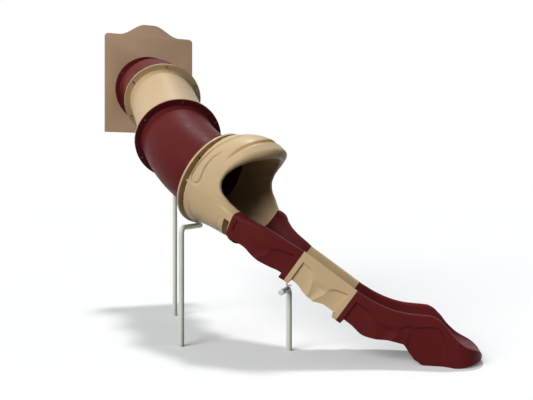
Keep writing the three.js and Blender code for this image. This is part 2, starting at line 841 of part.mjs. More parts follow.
function exitPlace(t) {
  const run = station(joint3.origin, chuteHeading, 0);
  const tip = toeLift + toeRim;
  const z = tip + (joint3.origin.z - tip) * read(exitHeightShares, t);
  const origin = at(run, 0, z - joint3.origin.z, t * exitLength);
  return station(origin, chuteHeading, chuteSlope * read(exitTiltShares, t));
}

function exitValues(t) {
  const place = exitPlace(t);
  const reach = Math.max(0, (t - toeStartShare) / (1 - toeStartShare));
  const narrow = Math.sqrt(1 - reach * reach);
  const skirt = t < footStartShare
    ? chuteFlangeDepth * read(exitSkirtShares, t)
    : place.origin.z - toeLift * read(toeLiftShares, t);
  return {
    ...chuteValues,
    half: chuteHalf * narrow,
    crest: chuteCrest * narrow,
    inner: chuteInner * narrow,
    shoulder: chuteShoulder * (1 - reach * 0.8),
    trough: chuteTrough * read(exitTroughShares, t),
    recess: t < footStartShare ? recessDepth : 0,
    depth: skirt,
    skirt,
  };
}

function exitChute() {
  const end = jointGap / 2 + webInset;
  const skirt = chuteFlangeDepth * exitSkirtShares[0][1];
  const start = [end, chuteBand, chuteBand + recessRamp].map((a) => {
    const recess = a > chuteBand ? recessDepth : 0;
    return { place: moved(joint3, a), points: chuteLoop({ ...chuteValues, recess, skirt }) };
  });
  const rows = exitRowShares.map((t) => ({ place: exitPlace(t), points: chuteLoop(exitValues(t)) }));
  let body = solid(loft([...start, ...rows]));
  body = body.add(endFlange(joint3, chuteValues, squareFoot, 1));
  body = drillWeb(body, joint3, chuteBoltPlaces(), 1);
  const tip = exitRowShares[exitRowShares.length - 1];
  const noseFoot = (side, depth) => [[side, -depth]];
  body = body.add(webPlate(exitPlace(tip), webOutline(exitValues(tip), noseFoot), -chuteWall, 0));
  const footLength = (footEndShare - footStartShare) * exitLength;
  const strip = new THREE.BoxGeometry(footWidth, footThick, footLength);
  const ground = station(joint3.origin.clone().setZ(0), chuteHeading, 0);
  const middle = ((footEndShare + footStartShare) / 2) * exitLength;
  for (const side of [-1, 1]) {
    const w = side * (chuteHalf - (chuteWall + footWidth) / 2);
    const place = { ...ground, origin: at(ground, w, footThick / 2, middle) };
    body = body.add(solid(placed(strip, place)));
  }
  return body;
}

// A pipe post: up from the ground, round a bend and out along its arm.
function pipeRoute(base, turn, height, reach) {
  const foot = station(vec(base[0], base[1], 0), turn, -90);
  return bentRoute(foot, station(hole, turn, 0), pipeBend, height - pipeBend, reach - pipeBend);
}

function pipePost(route) {
  const { length, lead, arc } = route;
  const turn = [0, 0.25, 0.5, 0.75, 1].map((t) => lead + t * arc);
  const inner = pipeRadius - pipeWall;
  return turned([
    [0, 0],
    [pipeRadius, 0],
    ...turn.map((a) => [pipeRadius, a]),
    [pipeRadius, length],
    [inner, length],
    ...turn.map((a) => [inner, a]).reverse(),
    [inner, capThick],
    [0, capThick],
  ], route, pipeSides);
}

function pipeCap(route) {
  const from = route.length + seatGap;
  const plug = pipeRadius - pipeWall - seatGap;
  return turned([
    [0, from - plugDepth],
    [plug, from - plugDepth],
    [plug, from],
    [pipeRadius, from],
    [pipeRadius, from + capThick / 2],
    [pipeRadius - capThick / 2, from + capThick],
    [0, from + capThick],
  ], route, pipeSides);
}

// A bent plate bracket: a tab on a flange's uphill face, a riser and a foot on the arm's crown.
function bracket(place, slope, w, rim, face, crown, foot) {
  const sin = Math.sin(rad(slope));
  const cos = Math.cos(rad(slope));
  const top = bracketLap - rim;
  const neck = -rim - 2 * seatGap;
  const low = crown + seatGap - place.origin.z;
  const spot = (a, n) => [a * cos + n * sin, n * cos - a * sin];
  const back = face - bracketPlate;
  const [inside, outside] = foot > 0 ? [face, back] : [back, face];
  const bend = spot(inside, neck);
  const heel = spot(outside, neck);
  const outline = [
    spot(inside, top),
    bend,
    [bend[0], low + bracketPlate],
    [bend[0] + foot, low + bracketPlate],
    [bend[0] + foot, low],
    [heel[0], low],
    heel,
    spot(outside, top),
  ];
  const sheet = plate(outline, bracketWidth);
  const forward = place.left.clone().cross(vec(0, 0, 1));
  const across = forward.clone().cross(vec(0, 0, 1));
  const basis = new THREE.Matrix4().makeBasis(forward, vec(0, 0, 1), across);
  const origin = place.origin.clone().addScaledVector(across, w - bracketWidth / 2);
  return solid(sheet.applyMatrix4(basis.setPosition(origin)));
}

function addPost(name, route) {
  add(`${name}_post`, pipePost(route), pipeGrey);
  add(`${name}_post_cap`, pipeCap(route), capGrey);
}

// A post whose arm runs under a rim at its own heading and past it.
function postToRim(rim, heading, crown, reach, overrun) {
  const turn = rad(heading);
  const base = [rim.x - reach * Math.cos(turn), rim.y - reach * Math.sin(turn)];
  return pipeRoute(base, heading, crown - pipeRadius, reach + overrun);
}

// Moulded sections
add('entry_panel', entryPanel(), panelBeige);
const uphill = [-flangeThick, 0];
const downhill = [0, flangeThick];
const holes = (top, foot) => [[top, ...downhill], [foot, ...uphill]];
add('upper_tube_bend', tubeSection(upperRoute, bendSteps, holes(entry, jointB)), maroon);
add('straight_tube', tubeSection(straightRoute, 1, holes(jointB, jointC)), beige);
add('lower_tube_bend', tubeSection(lowerRoute, bendSteps, holes(jointC, jointD)), maroon);
add('exit_hood', exitHood(), beige);
add('upper_chute', upperChute(), maroon);
add('middle_chute', middleChute(), beige);
add('exit_chute', exitChute(), maroon);

// Posts, each with its bracket
const rimC = at(jointC, 0, -flangeRadius);
const rimD = at(jointD, 0, -flangeRadius);
const rim2 = at(joint2, 0, -chuteFlangeDepth);
const tubeFace = -flangeThick - jointGap / 2 - seatGap;
const webFace = -chuteWeb - jointGap / 2 - seatGap;
const rearCrown = rimC.z - rearArmDrop;
const frontCrown = rimD.z - frontArmDrop;
const shortCrown = rim2.z - shortArmDrop;
addPost('rear', postToRim(rimC, rearHeading, rearCrown, rearReach, rearOverrun));
addPost('front', postToRim(rimD, frontHeading, frontCrown, frontReach, frontOverrun));
const shortPost = [rim2.x - shortBack, rim2.y - shortSide];
addPost('short', pipeRoute(shortPost, shortHeading, shortCrown - pipeRadius, shortArm));
const shortBolt = chuteBoltPlaces()[2];
const brackets = [
  ['rear_bracket', jointC, tubeSlope, [0, -boltCircle], flangeRadius, tubeFace, rearCrown, -bracketFoot],
  ['front_bracket', jointD, hoodSlope, [0, -boltCircle], flangeRadius, tubeFace, frontCrown, bracketFoot],
  ['short_bracket', joint2, chuteSlope, shortBolt, chuteFlangeDepth, webFace, shortCrown, bracketFoot],
];
for (const [name, place, slope, [w, n], rim, face, crown, foot] of brackets) {
  const body = bracket(place, slope, w, rim, face, crown, foot);
  add(name, body.subtract(drill(place, w, n, face - bracketPlate, face)), pipeGrey);
}

// Bolts, ring by ring
const half = jointGap / 2;
const hoodEnd = [hoodLength - half - hoodEndWall, hoodLength + half + chuteWeb];
const rings = [
  ['entry', entry, ringPlaces(ringBolts), half + flangeThick, -half - panelThick, null],
  ['upper', jointB, ringPlaces(ringBolts), half + flangeThick, -half - flangeThick, null],
  ['lower', jointC, ringPlaces(ringBolts), half + flangeThick, -half - flangeThick, 0],
  ['hood', jointD, ringPlaces(ringBolts), half + hoodFlangeThick, -half - flangeThick, 0],
  ['chute_a', jointD, hoodBoltPlaces(), ...hoodEnd, null],
  ['chute_b', joint2, chuteBoltPlaces(), half + chuteWeb, -half - chuteWeb, 2],
  ['chute_c', joint3, chuteBoltPlaces(), half + chuteWeb, -half - chuteWeb, null],
];
for (const [name, place, places, headFace, nutFace, withBracket] of rings) {
  places.forEach((spot, i) => {
    const tab = i === withBracket ? bracketPlate + seatGap : 0;
    bolt(`${name}_bolt_${i + 1}`, place, spot, headFace, nutFace - tab);
  });
}

// The origin is the middle of the slide's footprint, on the ground.
const box = new THREE.Box3().setFromObject(group);
group.position.set(-(box.min.x + box.max.x) / 2, -(box.min.y + box.max.y) / 2, -box.min.z);
group.updateMatrixWorld(true);

export default group;
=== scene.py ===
"""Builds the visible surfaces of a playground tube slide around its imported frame."""

import math
from typing import NamedTuple

import bmesh
import bpy
import numpy as np
from bpy.props import FloatProperty, FloatVectorProperty, IntProperty, PointerProperty
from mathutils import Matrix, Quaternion, Vector


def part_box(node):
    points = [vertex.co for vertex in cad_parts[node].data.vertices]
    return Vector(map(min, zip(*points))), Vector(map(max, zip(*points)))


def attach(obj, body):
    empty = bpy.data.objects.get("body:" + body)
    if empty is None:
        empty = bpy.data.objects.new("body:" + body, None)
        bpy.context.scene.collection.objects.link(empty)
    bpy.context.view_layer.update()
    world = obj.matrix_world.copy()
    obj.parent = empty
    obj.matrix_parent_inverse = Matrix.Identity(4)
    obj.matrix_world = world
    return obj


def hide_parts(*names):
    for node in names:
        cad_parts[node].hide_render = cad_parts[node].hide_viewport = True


bl_info = {
    "name": "Tube Slide",
    "version": (1, 0, 0),
    "blender": (4, 5, 0),
    "location": "3D View > Sidebar > Tube Slide",
    "description": "Builds the moulded sections, posts and fasteners of a playground tube slide",
    "category": "Add Mesh",
}

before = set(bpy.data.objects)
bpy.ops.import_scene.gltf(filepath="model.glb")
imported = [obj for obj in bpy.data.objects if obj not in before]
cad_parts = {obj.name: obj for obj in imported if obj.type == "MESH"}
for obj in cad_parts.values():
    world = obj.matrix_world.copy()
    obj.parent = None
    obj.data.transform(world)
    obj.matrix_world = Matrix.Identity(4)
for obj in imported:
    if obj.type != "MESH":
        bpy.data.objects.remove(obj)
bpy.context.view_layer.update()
BODY = "root"


# Helpers for the sizes and colours that a user would change


def length(name, description, default):
    """A size in metres."""
    return FloatProperty(
        name=name, description=description, default=default, unit="LENGTH", precision=4
    )


def degrees(name, description, default):
    """An angle, whose default is given in degrees."""
    return FloatProperty(
        name=name, description=description, default=math.radians(default), subtype="ANGLE"
    )


def colour(name, description, default):
    """A base colour in linear light."""
    return FloatVectorProperty(
        name=name, description=description, default=default, size=3, subtype="COLOR", min=0, max=1
    )


class SlideSizes(bpy.types.PropertyGroup):
    """The driving sizes of the slide, the same as the frame's."""

    hole_height: length("Hole height", "Height of the middle of the entry hole", 2.826)
    tube_slope: degrees("Tube slope", "Slope of the straight tube", 30.3)
    hood_heading: degrees("Hood heading", "Direction of the hood, seen from above", 36)
    hood_slope: degrees("Hood slope", "Slope of the hood", 29)
    chute_heading: degrees("Chute heading", "Direction of the lower chutes, seen from above", 60)
    chute_slope: degrees("Chute slope", "Slope of the middle chute", 36)
    upper_bend: length("Upper bend", "Radius of the upper tube's bend", 2.035)
    straight_length: length("Straight length", "Length of the straight tube", 1.095)
    lower_bend: length("Lower bend", "Radius of the lower tube's bend", 1.475)
    joint_gap: length("Joint gap", "Gap between two sections", 0.0004)
    seat_gap: length("Seat gap", "Gap under a bolt's head", 0.0003)
    barrel: length("Barrel radius", "Outer radius of the tubes", 0.381)
    wall: length("Wall", "Thickness of the moulded walls", 0.008)
    flange: length("Flange radius", "Outer radius of the tubes' flanges", 0.457)
    flange_thick: length("Flange thickness", "Thickness of the tubes' flanges", 0.020)
    flange_root: length("Flange root", "Radius of the round corner at a flange's foot", 0.018)
    edge_round: length("Edge round", "Radius of the moulded edges", 0.003)
    panel_half: length("Panel half width", "Half the width of the entry panel", 0.596)
    panel_thick: length("Panel thickness", "Thickness of the entry panel", 0.019)
    panel_below: length("Panel below", "From the middle of the hole down to the edge", 0.584)
    panel_shoulder: length("Panel shoulder", "From the middle of the hole up to a shoulder", 0.745)
    panel_arch: length("Panel arch", "From the middle of the hole up to the top of the arch", 0.896)
    panel_corner: length("Panel corner", "Radius of the panel's upper corners", 0.050)
    panel_arch_half: length("Arch half width", "Half the width of the panel's arch", 0.400)
    panel_arch_flat: length("Arch crown", "Half the width of the arch's level crown", 0.060)
    hood_length: length("Hood length", "Length of the hood along its axis", 0.619)
    hood_flange: length("Hood flange", "Radius of the hood's flange", 0.479)
    hood_flange_thick: length("Hood flange thickness", "Thickness of the hood's flange", 0.022)
    hood_groove: length("Hood groove", "Radius of the groove behind the flange", 0.400)
    hood_groove_end: length("Hood groove end", "How far the groove reaches along the hood", 0.056)
    hood_back: length("Hood back", "Radius of the hood behind the groove", 0.455)
    hood_mouth: length("Hood mouth", "Radius of the hood's sides at the mouth", 0.424)
    hood_rise: length("Hood rise", "Rise of the hood's top over its sides", 0.180)
    hood_depth: length("Hood depth", "From the hood's axis down to its bottom at the end", 0.312)
    brow: length("Brow radius", "Radius of the rolled brow", 0.052)
    upper_chute_bend: length("Upper chute bend", "Radius of the upper chute's bend", 1.547)
    upper_chute_heading: degrees("Upper chute heading", "Direction at the chute's start", 34.5)
    upper_chute_slope: degrees("Upper chute slope", "Slope at the upper chute's start", 33)
    upper_half: length("Upper half width", "Half the width of the upper chute's start", 0.394)
    upper_crest: length("Upper crest", "From the middle to the top of its rail", 0.314)
    upper_inner: length("Upper inner", "From the middle to its inner wall", 0.290)
    upper_shoulder: length("Upper shoulder", "Height of its rail's round", 0.040)
    upper_trough: length("Upper trough", "Depth of its bed below the rails", 0.240)
    upper_depth: length("Upper depth", "Depth of its round end flange", 0.318)
    skirt_tuck: length("Skirt tuck", "How far its skirt leans in at the foot", 0.020)
    crest_drop: length("Crest drop", "From the hood's axis down to the chute's rails", 0.011)
    chute_half: length("Chute half width", "Half the width of a chute", 0.292)
    chute_crest: length("Chute crest", "From the middle to the top of a rail", 0.266)
    chute_inner: length("Chute inner", "From the middle to the inner wall", 0.238)
    chute_shoulder: length("Chute shoulder", "Height of the rail's outer round", 0.012)
    chute_trough: length("Chute trough", "Depth of the bed below the rails", 0.220)
    chute_depth: length("Chute depth", "Depth of the end flanges below the rails", 0.306)
    chute_web: length("Chute web", "Thickness of a flange across the chute's end", 0.014)
    chute_band: length("Chute band", "Length of the band along the chute's side", 0.044)
    band_wall: length("Band wall", "Thickness of that band", 0.012)
    chute_corner: length("Chute corner", "Size of the end flange's lower corner", 0.026)
    recess_top: length("Recess top", "From the rail down to the recess in the side", 0.078)
    recess_depth: length("Recess depth", "Depth of the recess in the side", 0.014)
    middle_length: length("Middle length", "Length of the middle chute", 0.544)
    exit_length: length("Exit length", "Length of the exit chute, seen from above", 1.024)
    toe_lift: length("Toe lift", "Height of the toe's lip over the ground", 0.052)
    pipe: length("Pipe radius", "Outer radius of the posts", 0.0254)
    pipe_bend: length("Pipe bend", "Radius of the bend at the top of a post", 0.060)
    cap_thick: length("Cap thickness", "Thickness of the cap in an arm's end", 0.005)
    bolt: length("Bolt radius", "Radius of a bolt's shank", 0.00635)
    head: length("Head radius", "Radius of a bolt's head over its corners", 0.011)
    head_thick: length("Head thickness", "Thickness of a bolt's head", 0.008)
    nut_thick: length("Nut thickness", "Thickness of a nut with the bolt's end", 0.011)
    bolt_circle: length("Bolt circle", "Radius of the ring of bolts in a flange", 0.424)
    ring_bolts: IntProperty(
        name="Ring bolts", description="Bolts in a round flange", default=6, min=3
    )


class SlideColours(bpy.types.PropertyGroup):
    """The colours of the finishes."""

    maroon: colour("Maroon", "Moulded plastic of the bends and two chutes", (0.106, 0.0120, 0.0128))
    beige: colour("Beige", "Moulded plastic of tube, hood and middle chute", (0.565, 0.41, 0.232))
    board: colour("Panel", "Plastic board of the entry panel", (0.53, 0.35, 0.215))
    pipe: colour("Posts", "Powder coat of the posts", (0.67, 0.72, 0.61))
    cap: colour("Caps", "Plastic of the end caps", (0.60, 0.62, 0.60))
    zinc: colour("Fasteners", "Dark zinc plate of the bolts", (0.07, 0.07, 0.075))
    floor: colour("Floor", "Floor and background", (1.0, 1.0, 1.0))


# Stations and routes


class Station:
    """A place on the slide with its own axes: along, left and up."""

    def __init__(self, origin, along, left, up=None):
        self.origin = origin
        self.along = along
        self.left = left
        self.up = along.cross(left) if up is None else up

    @classmethod
    def aimed(cls, origin, heading, slope):
        """A station that heads one way and slopes down, with its left side level."""
        flat = math.cos(slope)
        along = Vector((math.cos(heading) * flat, math.sin(heading) * flat, -math.sin(slope)))
        return cls(origin.copy(), along, Vector((-math.sin(heading), math.cos(heading), 0)))

    def at(self, w, n, a=0.0):
        """The point at w to the right, n up and a along."""
        return self.origin - self.left * w + self.up * n + self.along * a

    def moved(self, a):
        return Station(self.at(0, 0, a), self.along, self.left, self.up)

    def levelled(self):
        """The same place with its left side level."""
        left = Vector((0, 0, 1)).cross(self.along).normalized()
        return Station(self.origin, self.along, left)

    def rolled(self, angle):
        """Tips the right side up."""
        turn = Quaternion(self.along, -angle)
        return Station(self.origin, self.along, turn @ self.left, turn @ self.up)

    def points(self, w, n, a=0.0):
        """The same as at, for arrays of w, n and a."""
        w, n, a = (v[..., None] for v in np.broadcast_arrays(np.asarray(w, float), n, a))
        left, up, along = (np.array(v) for v in (self.left, self.up, self.along))
        return np.array(self.origin) - w * left + n * up + a * along


def arc_route(start, target, radius):
    """An arc that leaves a station and turns its direction to another one's."""
    axis = start.along.cross(target.along).normalized()
    centre = start.origin + axis.cross(start.along) * radius

    def place(a):
        turn = Quaternion(axis, a / radius)
        origin = turn @ (start.origin - centre) + centre
        return Station(origin, turn @ start.along, turn @ start.left, turn @ start.up)

    return place, start.along.angle(target.along) * radius


def bent_route(start, target, radius, lead, tail):
    """A straight lead, an arc to a new direction and a straight tail."""
    arc, turn = arc_route(start.moved(lead), target, radius)
    end = arc(turn)

    def place(a):
        if a < lead:
            return start.moved(a)
        return arc(a - lead) if a < lead + turn else end.moved(a - lead - turn)

    return place, lead + turn + tail


class Layout:
    """The slide's joints: b, c and d between the tubes and the hood, joint1 to 3 of the chutes."""

    def __init__(self, sizes):
        s = sizes
        low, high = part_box("entry_panel")
        hole = Vector((high.x + s.joint_gap / 2, (low.y + high.y) / 2, s.hole_height))
        aimed = Station.aimed
        stub = s.flange_thick + s.joint_gap
        self.ground = Vector((hole.x, hole.y, 0))
        self.entry = aimed(hole, 0, 0)
        slope = aimed(hole, 0, s.tube_slope)
        self.upper, self.upper_length = bent_route(self.entry, slope, s.upper_bend, stub, stub)
        self.b = aimed(self.upper(self.upper_length).origin, 0, s.tube_slope)
        self.c = self.b.moved(s.straight_length)
        hood = aimed(hole, s.hood_heading, s.hood_slope)
        self.lower, self.lower_length = bent_route(self.c, hood, s.lower_bend, stub, stub)
        self.d = aimed(self.lower(self.lower_length).origin, s.hood_heading, s.hood_slope)
        end = self.d.at(0, -s.crest_drop, s.hood_length)
        self.joint1 = aimed(end, s.hood_heading, s.hood_slope)
        start = aimed(end, s.upper_chute_heading, s.upper_chute_slope)
        chute = aimed(hole, s.chute_heading, s.chute_slope)
        self.chute, self.chute_length = arc_route(start, chute, s.upper_chute_bend)
        self.joint2 = aimed(self.chute(self.chute_length).origin, s.chute_heading, s.chute_slope)
        self.joint3 = self.joint2.moved(s.middle_length)


# Numbers


def smooth(x):
    """Eases from nothing at 0 to one at 1."""
    t = np.clip(x, 0, 1)
    return t * t * (3 - 2 * t)


def eased(x, start, end):
    """Eases from nothing at start to one at end."""
    return smooth((x - start) / (end - start))


def between(x, low, high, ramp):
    """One between low and high, and nothing outside, with soft ramps."""
    return smooth((x - low) / ramp) * smooth((high - x) / ramp)


def read(table, key):
    """Reads rows of (key, value) along a smooth curve that never overshoots them."""
    x, y = np.array(table, float).T
    steps = np.diff(x)
    slopes = np.diff(y) / steps
    tangents = np.zeros_like(y)
    same = slopes[:-1] * slopes[1:] > 0
    weights = 2 * slopes[:-1] * slopes[1:] / np.where(same, slopes[:-1] + slopes[1:], 1)
    tangents[1:-1] = np.where(same, weights, 0)
    tangents[0], tangents[-1] = slopes[0], slopes[-1]
    key = np.clip(key, x[0], x[-1])
    i = np.clip(np.searchsorted(x, key, side="right") - 1, 0, len(x) - 2)
    t = (key - x[i]) / steps[i]
    ends = y[i] * (1 + 2 * t) * (1 - t) ** 2 + y[i + 1] * t * t * (3 - 2 * t)
    turns = tangents[i] * t * (1 - t) ** 2 - tangents[i + 1] * t * t * (1 - t)
    return ends + turns * steps[i]


def spaced(stops):
    """Numbers through a list of (value, steps to the next one)."""
    parts = [
        np.linspace(start, end, steps, endpoint=False)
        for (start, steps), (end, _) in zip(stops, stops[1:])
    ]
    return np.concatenate(parts + [[stops[-1][0]]])


def distance_to_path(x, y, path):
    """How far the points (x, y) lie from a path of straight pieces."""
    best = np.full(np.shape(x), np.inf)
    for (ax, ay), (bx, by) in zip(path, path[1:]):
        dx, dy = bx - ax, by - ay
        t = np.clip(((x - ax) * dx + (y - ay) * dy) / (dx * dx + dy * dy), 0, 1)
        best = np.minimum(best, np.hypot(x - ax - t * dx, y - ay - t * dy))
    return best


STRAIGHT = math.pi - 0.01
CORNER_ROUND_STEPS = 5


def rounded(corners, steps=CORNER_ROUND_STEPS):
    """A closed outline of (x, y, radius) corners with each corner rounded."""
    points = []
    spots = [Vector(corner[:2]) for corner in corners]
    for i, (here, (_, _, radius)) in enumerate(zip(spots, corners)):
        back = spots[i - 1] - here
        on = spots[(i + 1) % len(spots)] - here
        angle = back.angle(on)
        if radius == 0 or angle > STRAIGHT:
            points.append(here)
            continue
        reach = min(radius / math.tan(angle / 2), back.length / 2, on.length / 2)
        first = here + back.normalized() * reach
        last = here + on.normalized() * reach
        middle = (back.normalized() + on.normalized()).normalized()
        fitted = reach * math.tan(angle / 2)
        centre = here + middle * (fitted / math.sin(angle / 2))
        spoke_a, spoke_b = first - centre, last - centre
        for k in range(steps + 1):
            spoke = spoke_a.lerp(spoke_b, k / steps).normalized() * fitted
            points.append(centre + spoke)
    return [tuple(p) for p in points]


def divided(points, spacing):
    """Adds points to a closed outline, so that no side is longer than the spacing."""
    result = []
    for here, there in zip(points, points[1:] + points[:1]):
        count = max(1, math.ceil(math.dist(here, there) / spacing))
        for k in range(count):
            result.append(tuple(a + (b - a) * (k / count) for a, b in zip(here, there)))
    return result


# Meshes

MERGE_DISTANCE = 1e-5
SLIVER = 1e-6
SHARP_ANGLE = 38
OUTLINE_SPACING = 0.02
SHANK_STEPS = 16
HEXAGON = 6


def linked(name, data):
    """An object in the scene, at the origin."""
    obj = bpy.data.objects.new(name, data)
    bpy.context.scene.collection.objects.link(obj)
    return obj


def grid(points, close_rows=False, close_columns=False):
    """Vertices and faces of a sheet of points, an array of rows, columns and xyz."""
    rows, columns = points.shape[:2]
    numbers = np.arange(rows * columns).reshape(rows, columns)
    if close_rows:
        numbers = np.vstack([numbers, numbers[:1]])
    if close_columns:
        numbers = np.hstack([numbers, numbers[:, :1]])
    corners = [numbers[:-1, :-1], numbers[:-1, 1:], numbers[1:, 1:], numbers[1:, :-1]]
    faces = np.stack(corners, -1).reshape(-1, 4)
    return points.reshape(-1, 3), faces.tolist()


def loft(rings):
    """A closed body through rings of points, with flat ends."""
    points = np.array(rings)
    vertices, faces = grid(points, close_columns=True)
    rows, columns = points.shape[:2]
    faces.append(list(range(columns)))
    faces.append([(rows - 1) * columns + k for k in range(columns)])
    return vertices, faces


def solid(name, bodies):
    """One object from closed bodies."""
    vertices, faces, start = [], [], 0
    for points, polygons in bodies:
        vertices.append(np.asarray(points, float))
        faces.extend([[k + start for k in polygon] for polygon in polygons])
        start += len(points)
    mesh = bpy.data.meshes.new(name)
    mesh.from_pydata(np.vstack(vertices).tolist(), [], faces)
    return linked(name, mesh)


def dressed(obj, slot, sharp=SHARP_ANGLE):
    """Cleans an object's mesh, turns its faces out, shades it and gives it its finish."""
    mesh = obj.data
    work = bmesh.new()
    work.from_mesh(mesh)
    bmesh.ops.remove_doubles(work, verts=work.verts, dist=MERGE_DISTANCE)
    bmesh.ops.dissolve_degenerate(work, edges=work.edges, dist=SLIVER)
    bmesh.ops.recalc_face_normals(work, faces=work.faces)
    work.to_mesh(mesh)
    work.free()
    mesh.shade_smooth()
    mesh.set_sharp_from_angle(angle=math.radians(sharp))
    mesh.materials.clear()
    mesh.materials.append(finish(slot))
    return obj


def kept(piece, slot, *nodes, sharp=SHARP_ANGLE):
    """Finishes a piece and ties it to the frame."""
    dressed(piece, slot, sharp)
    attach(piece, BODY)
    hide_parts(*nodes)


def baked(source, name):
    """The plain mesh that an object's Geometry Nodes make."""
    graph = bpy.context.evaluated_depsgraph_get()
    mesh = bpy.data.meshes.new_from_object(source.evaluated_get(graph), depsgraph=graph)
    source.modifiers.clear()
    bpy.data.objects.remove(source)
    mesh.name = name
    return linked(name, mesh)


def polyline(name, points, twist="Z_UP"):
    """A curve object of straight pieces, to be read by a node tree."""
    curve = bpy.data.curves.new(name, "CURVE")
    curve.dimensions = "3D"
    curve.twist_mode = twist
    spline = curve.splines.new("POLY")
    spline.points.add(len(points) - 1)
    for spot, point in zip(spline.points, points):
        spot.co = (*point, 1)
    return linked(name, curve)


# Node trees. These sockets share their names with others, so they go by their places.

VECTOR_SCALE = 3
MIX_FIRST, MIX_SECOND, MIX_RESULT = 6, 7, 2


class Value:
    """Wraps a socket, so that maths on it reads as an expression."""

    def __init__(self, tree, socket):
        self.tree = tree
        self.socket = socket

    def maths(self, operation, *others):
        node = self.tree.nodes.new("ShaderNodeMath")
        node.operation = operation
        for place, item in zip(node.inputs, (self, *others)):
            plug(self.tree, place, item)
        return Value(self.tree, node.outputs[0])

    def __add__(self, other):
        return self.maths("ADD", other)

    def __mul__(self, other):
        return self.maths("MULTIPLY", other)

    def __truediv__(self, other):
        return self.maths("DIVIDE", other)

    def floor(self):
        return self.maths("FLOOR")

    def modulo(self, other):
        return self.maths("MODULO", other)

    def cosine(self):
        return self.maths("COSINE")

    def sine(self):
        return self.maths("SINE")


def plug(tree, place, item):
    """Links a value to a socket, or sets the socket to a number; None leaves it as it is."""
    if isinstance(item, Value):
        tree.links.new(item.socket, place)
    elif item is not None:
        place.default_value = item


class Nodes:
    """Adds nodes to a tree, one call for each."""

    def __init__(self, tree):
        self.tree = tree

    def node(self, kind, settings=None, sockets=None, out=0):
        """A node of a kind, its settings first and then its sockets; gives the output asked for."""
        made = self.tree.nodes.new(kind)
        for name, value in (settings or {}).items():
            setattr(made, name, value)
        for name, value in (sockets or {}).items():
            plug(self.tree, made.inputs[name], value)
        if isinstance(out, (list, tuple)):
            return [Value(self.tree, made.outputs[o]) for o in out]
        return Value(self.tree, made.outputs[out])

    def vector(self, operation, first, second=None, scale=None):
        sockets = {0: first, 1: second, VECTOR_SCALE: scale}
        return self.node("ShaderNodeVectorMath", {"operation": operation}, sockets)

    def mixed(self, factor, first, second):
        """Two colours mixed by a factor."""
        pick = lambda item: item if isinstance(item, Value) else (*item, 1.0)
        sockets = {"Factor": factor, MIX_FIRST: pick(first), MIX_SECOND: pick(second)}
        return self.node("ShaderNodeMix", {"data_type": "RGBA"}, sockets, MIX_RESULT)


class Maker(Nodes):
    """A Geometry Nodes tree with named inputs."""

    def __init__(self, name, inputs):
        super().__init__(bpy.data.node_groups.new(name, "GeometryNodeTree"))
        face = self.tree.interface
        face.new_socket(name="Geometry", in_out="OUTPUT", socket_type="NodeSocketGeometry")
        face.new_socket(name="Geometry", in_out="INPUT", socket_type="NodeSocketGeometry")
        self.keys = {}
        for label, kind in inputs.items():
            item = face.new_socket(name=label, in_out="INPUT", socket_type="NodeSocket" + kind)
            self.keys[label] = item.identifier
        self.source = self.tree.nodes.new("NodeGroupInput")

    def input(self, label):
        return Value(self.tree, self.source.outputs[label])

    def shape(self, label):
        """The geometry of the object in a named input."""
        sockets = {"Object": self.input(label)}
        return self.node("GeometryNodeObjectInfo", sockets=sockets, out="Geometry")

    def attribute(self, name, kind):
        return self.node("GeometryNodeInputNamedAttribute", {"data_type": kind}, {"Name": name})

    def finish(self, geometry):
        """Realizes what was made, gives it its material and hands it out."""
        real = self.node("GeometryNodeRealizeInstances", sockets={"Geometry": geometry})
        sockets = {"Geometry": real, "Material": self.input("Material")}
        painted = self.node("GeometryNodeSetMaterial", sockets=sockets)
        out = self.tree.nodes.new("NodeGroupOutput")
        self.tree.links.new(painted.socket, out.inputs[0])
        return self

    def applied(self, source, name, values):
        """Runs the tree on an object and keeps the mesh."""
        modifier = source.modifiers.new(name, "NODES")
        modifier.node_group = self.tree
        for label, value in values.items():
            modifier[self.keys[label]] = value
        return baked(source, name)


def turned_tree():
    """Turns a profile of (radius, 0, along) points round a route."""
    kinds = {"Route": "Object", "Steps around": "Int", "Material": "Material"}
    tree = Maker("Turned section", kinds)
    profile = tree.input("Geometry")
    steps = tree.input("Steps around")
    count = tree.node(
        "GeometryNodeAttributeDomainSize", {"component": "MESH"}, {"Geometry": profile}
    )
    columns = steps + 1
    sockets = {"Vertices X": count + 1, "Vertices Y": columns}
    sheet = tree.node("GeometryNodeMeshGrid", sockets=sockets)
    index = tree.node("GeometryNodeInputIndex")
    row = ((index + 0.5) / columns).floor()
    position = tree.node("GeometryNodeInputPosition")
    spot = tree.node(
        "GeometryNodeSampleIndex",
        {"data_type": "FLOAT_VECTOR", "domain": "POINT"},
        {"Geometry": profile, "Value": position, "Index": row.modulo(count)},
    )
    radius, _, along = tree.node("ShaderNodeSeparateXYZ", sockets={0: spot}, out=[0, 1, 2])
    angle = index.modulo(columns) / steps * math.tau
    here, forward, side = tree.node(
        "GeometryNodeSampleCurve",
        {"mode": "LENGTH"},
        {"Curves": tree.shape("Route"), "Length": along},
        out=["Position", "Tangent", "Normal"],
    )
    above = tree.vector("CROSS_PRODUCT", forward, side)
    across = tree.vector("SCALE", side, scale=radius * angle.cosine())
    up = tree.vector("SCALE", above, scale=radius * angle.sine())
    place = tree.vector("ADD", here, tree.vector("ADD", across, up))
    bent = tree.node("GeometryNodeSetPosition", sockets={"Geometry": sheet, "Position": place})
    sockets = {"Geometry": bent, "Distance": MERGE_DISTANCE}
    return tree.finish(tree.node("GeometryNodeMergeByDistance", sockets=sockets))


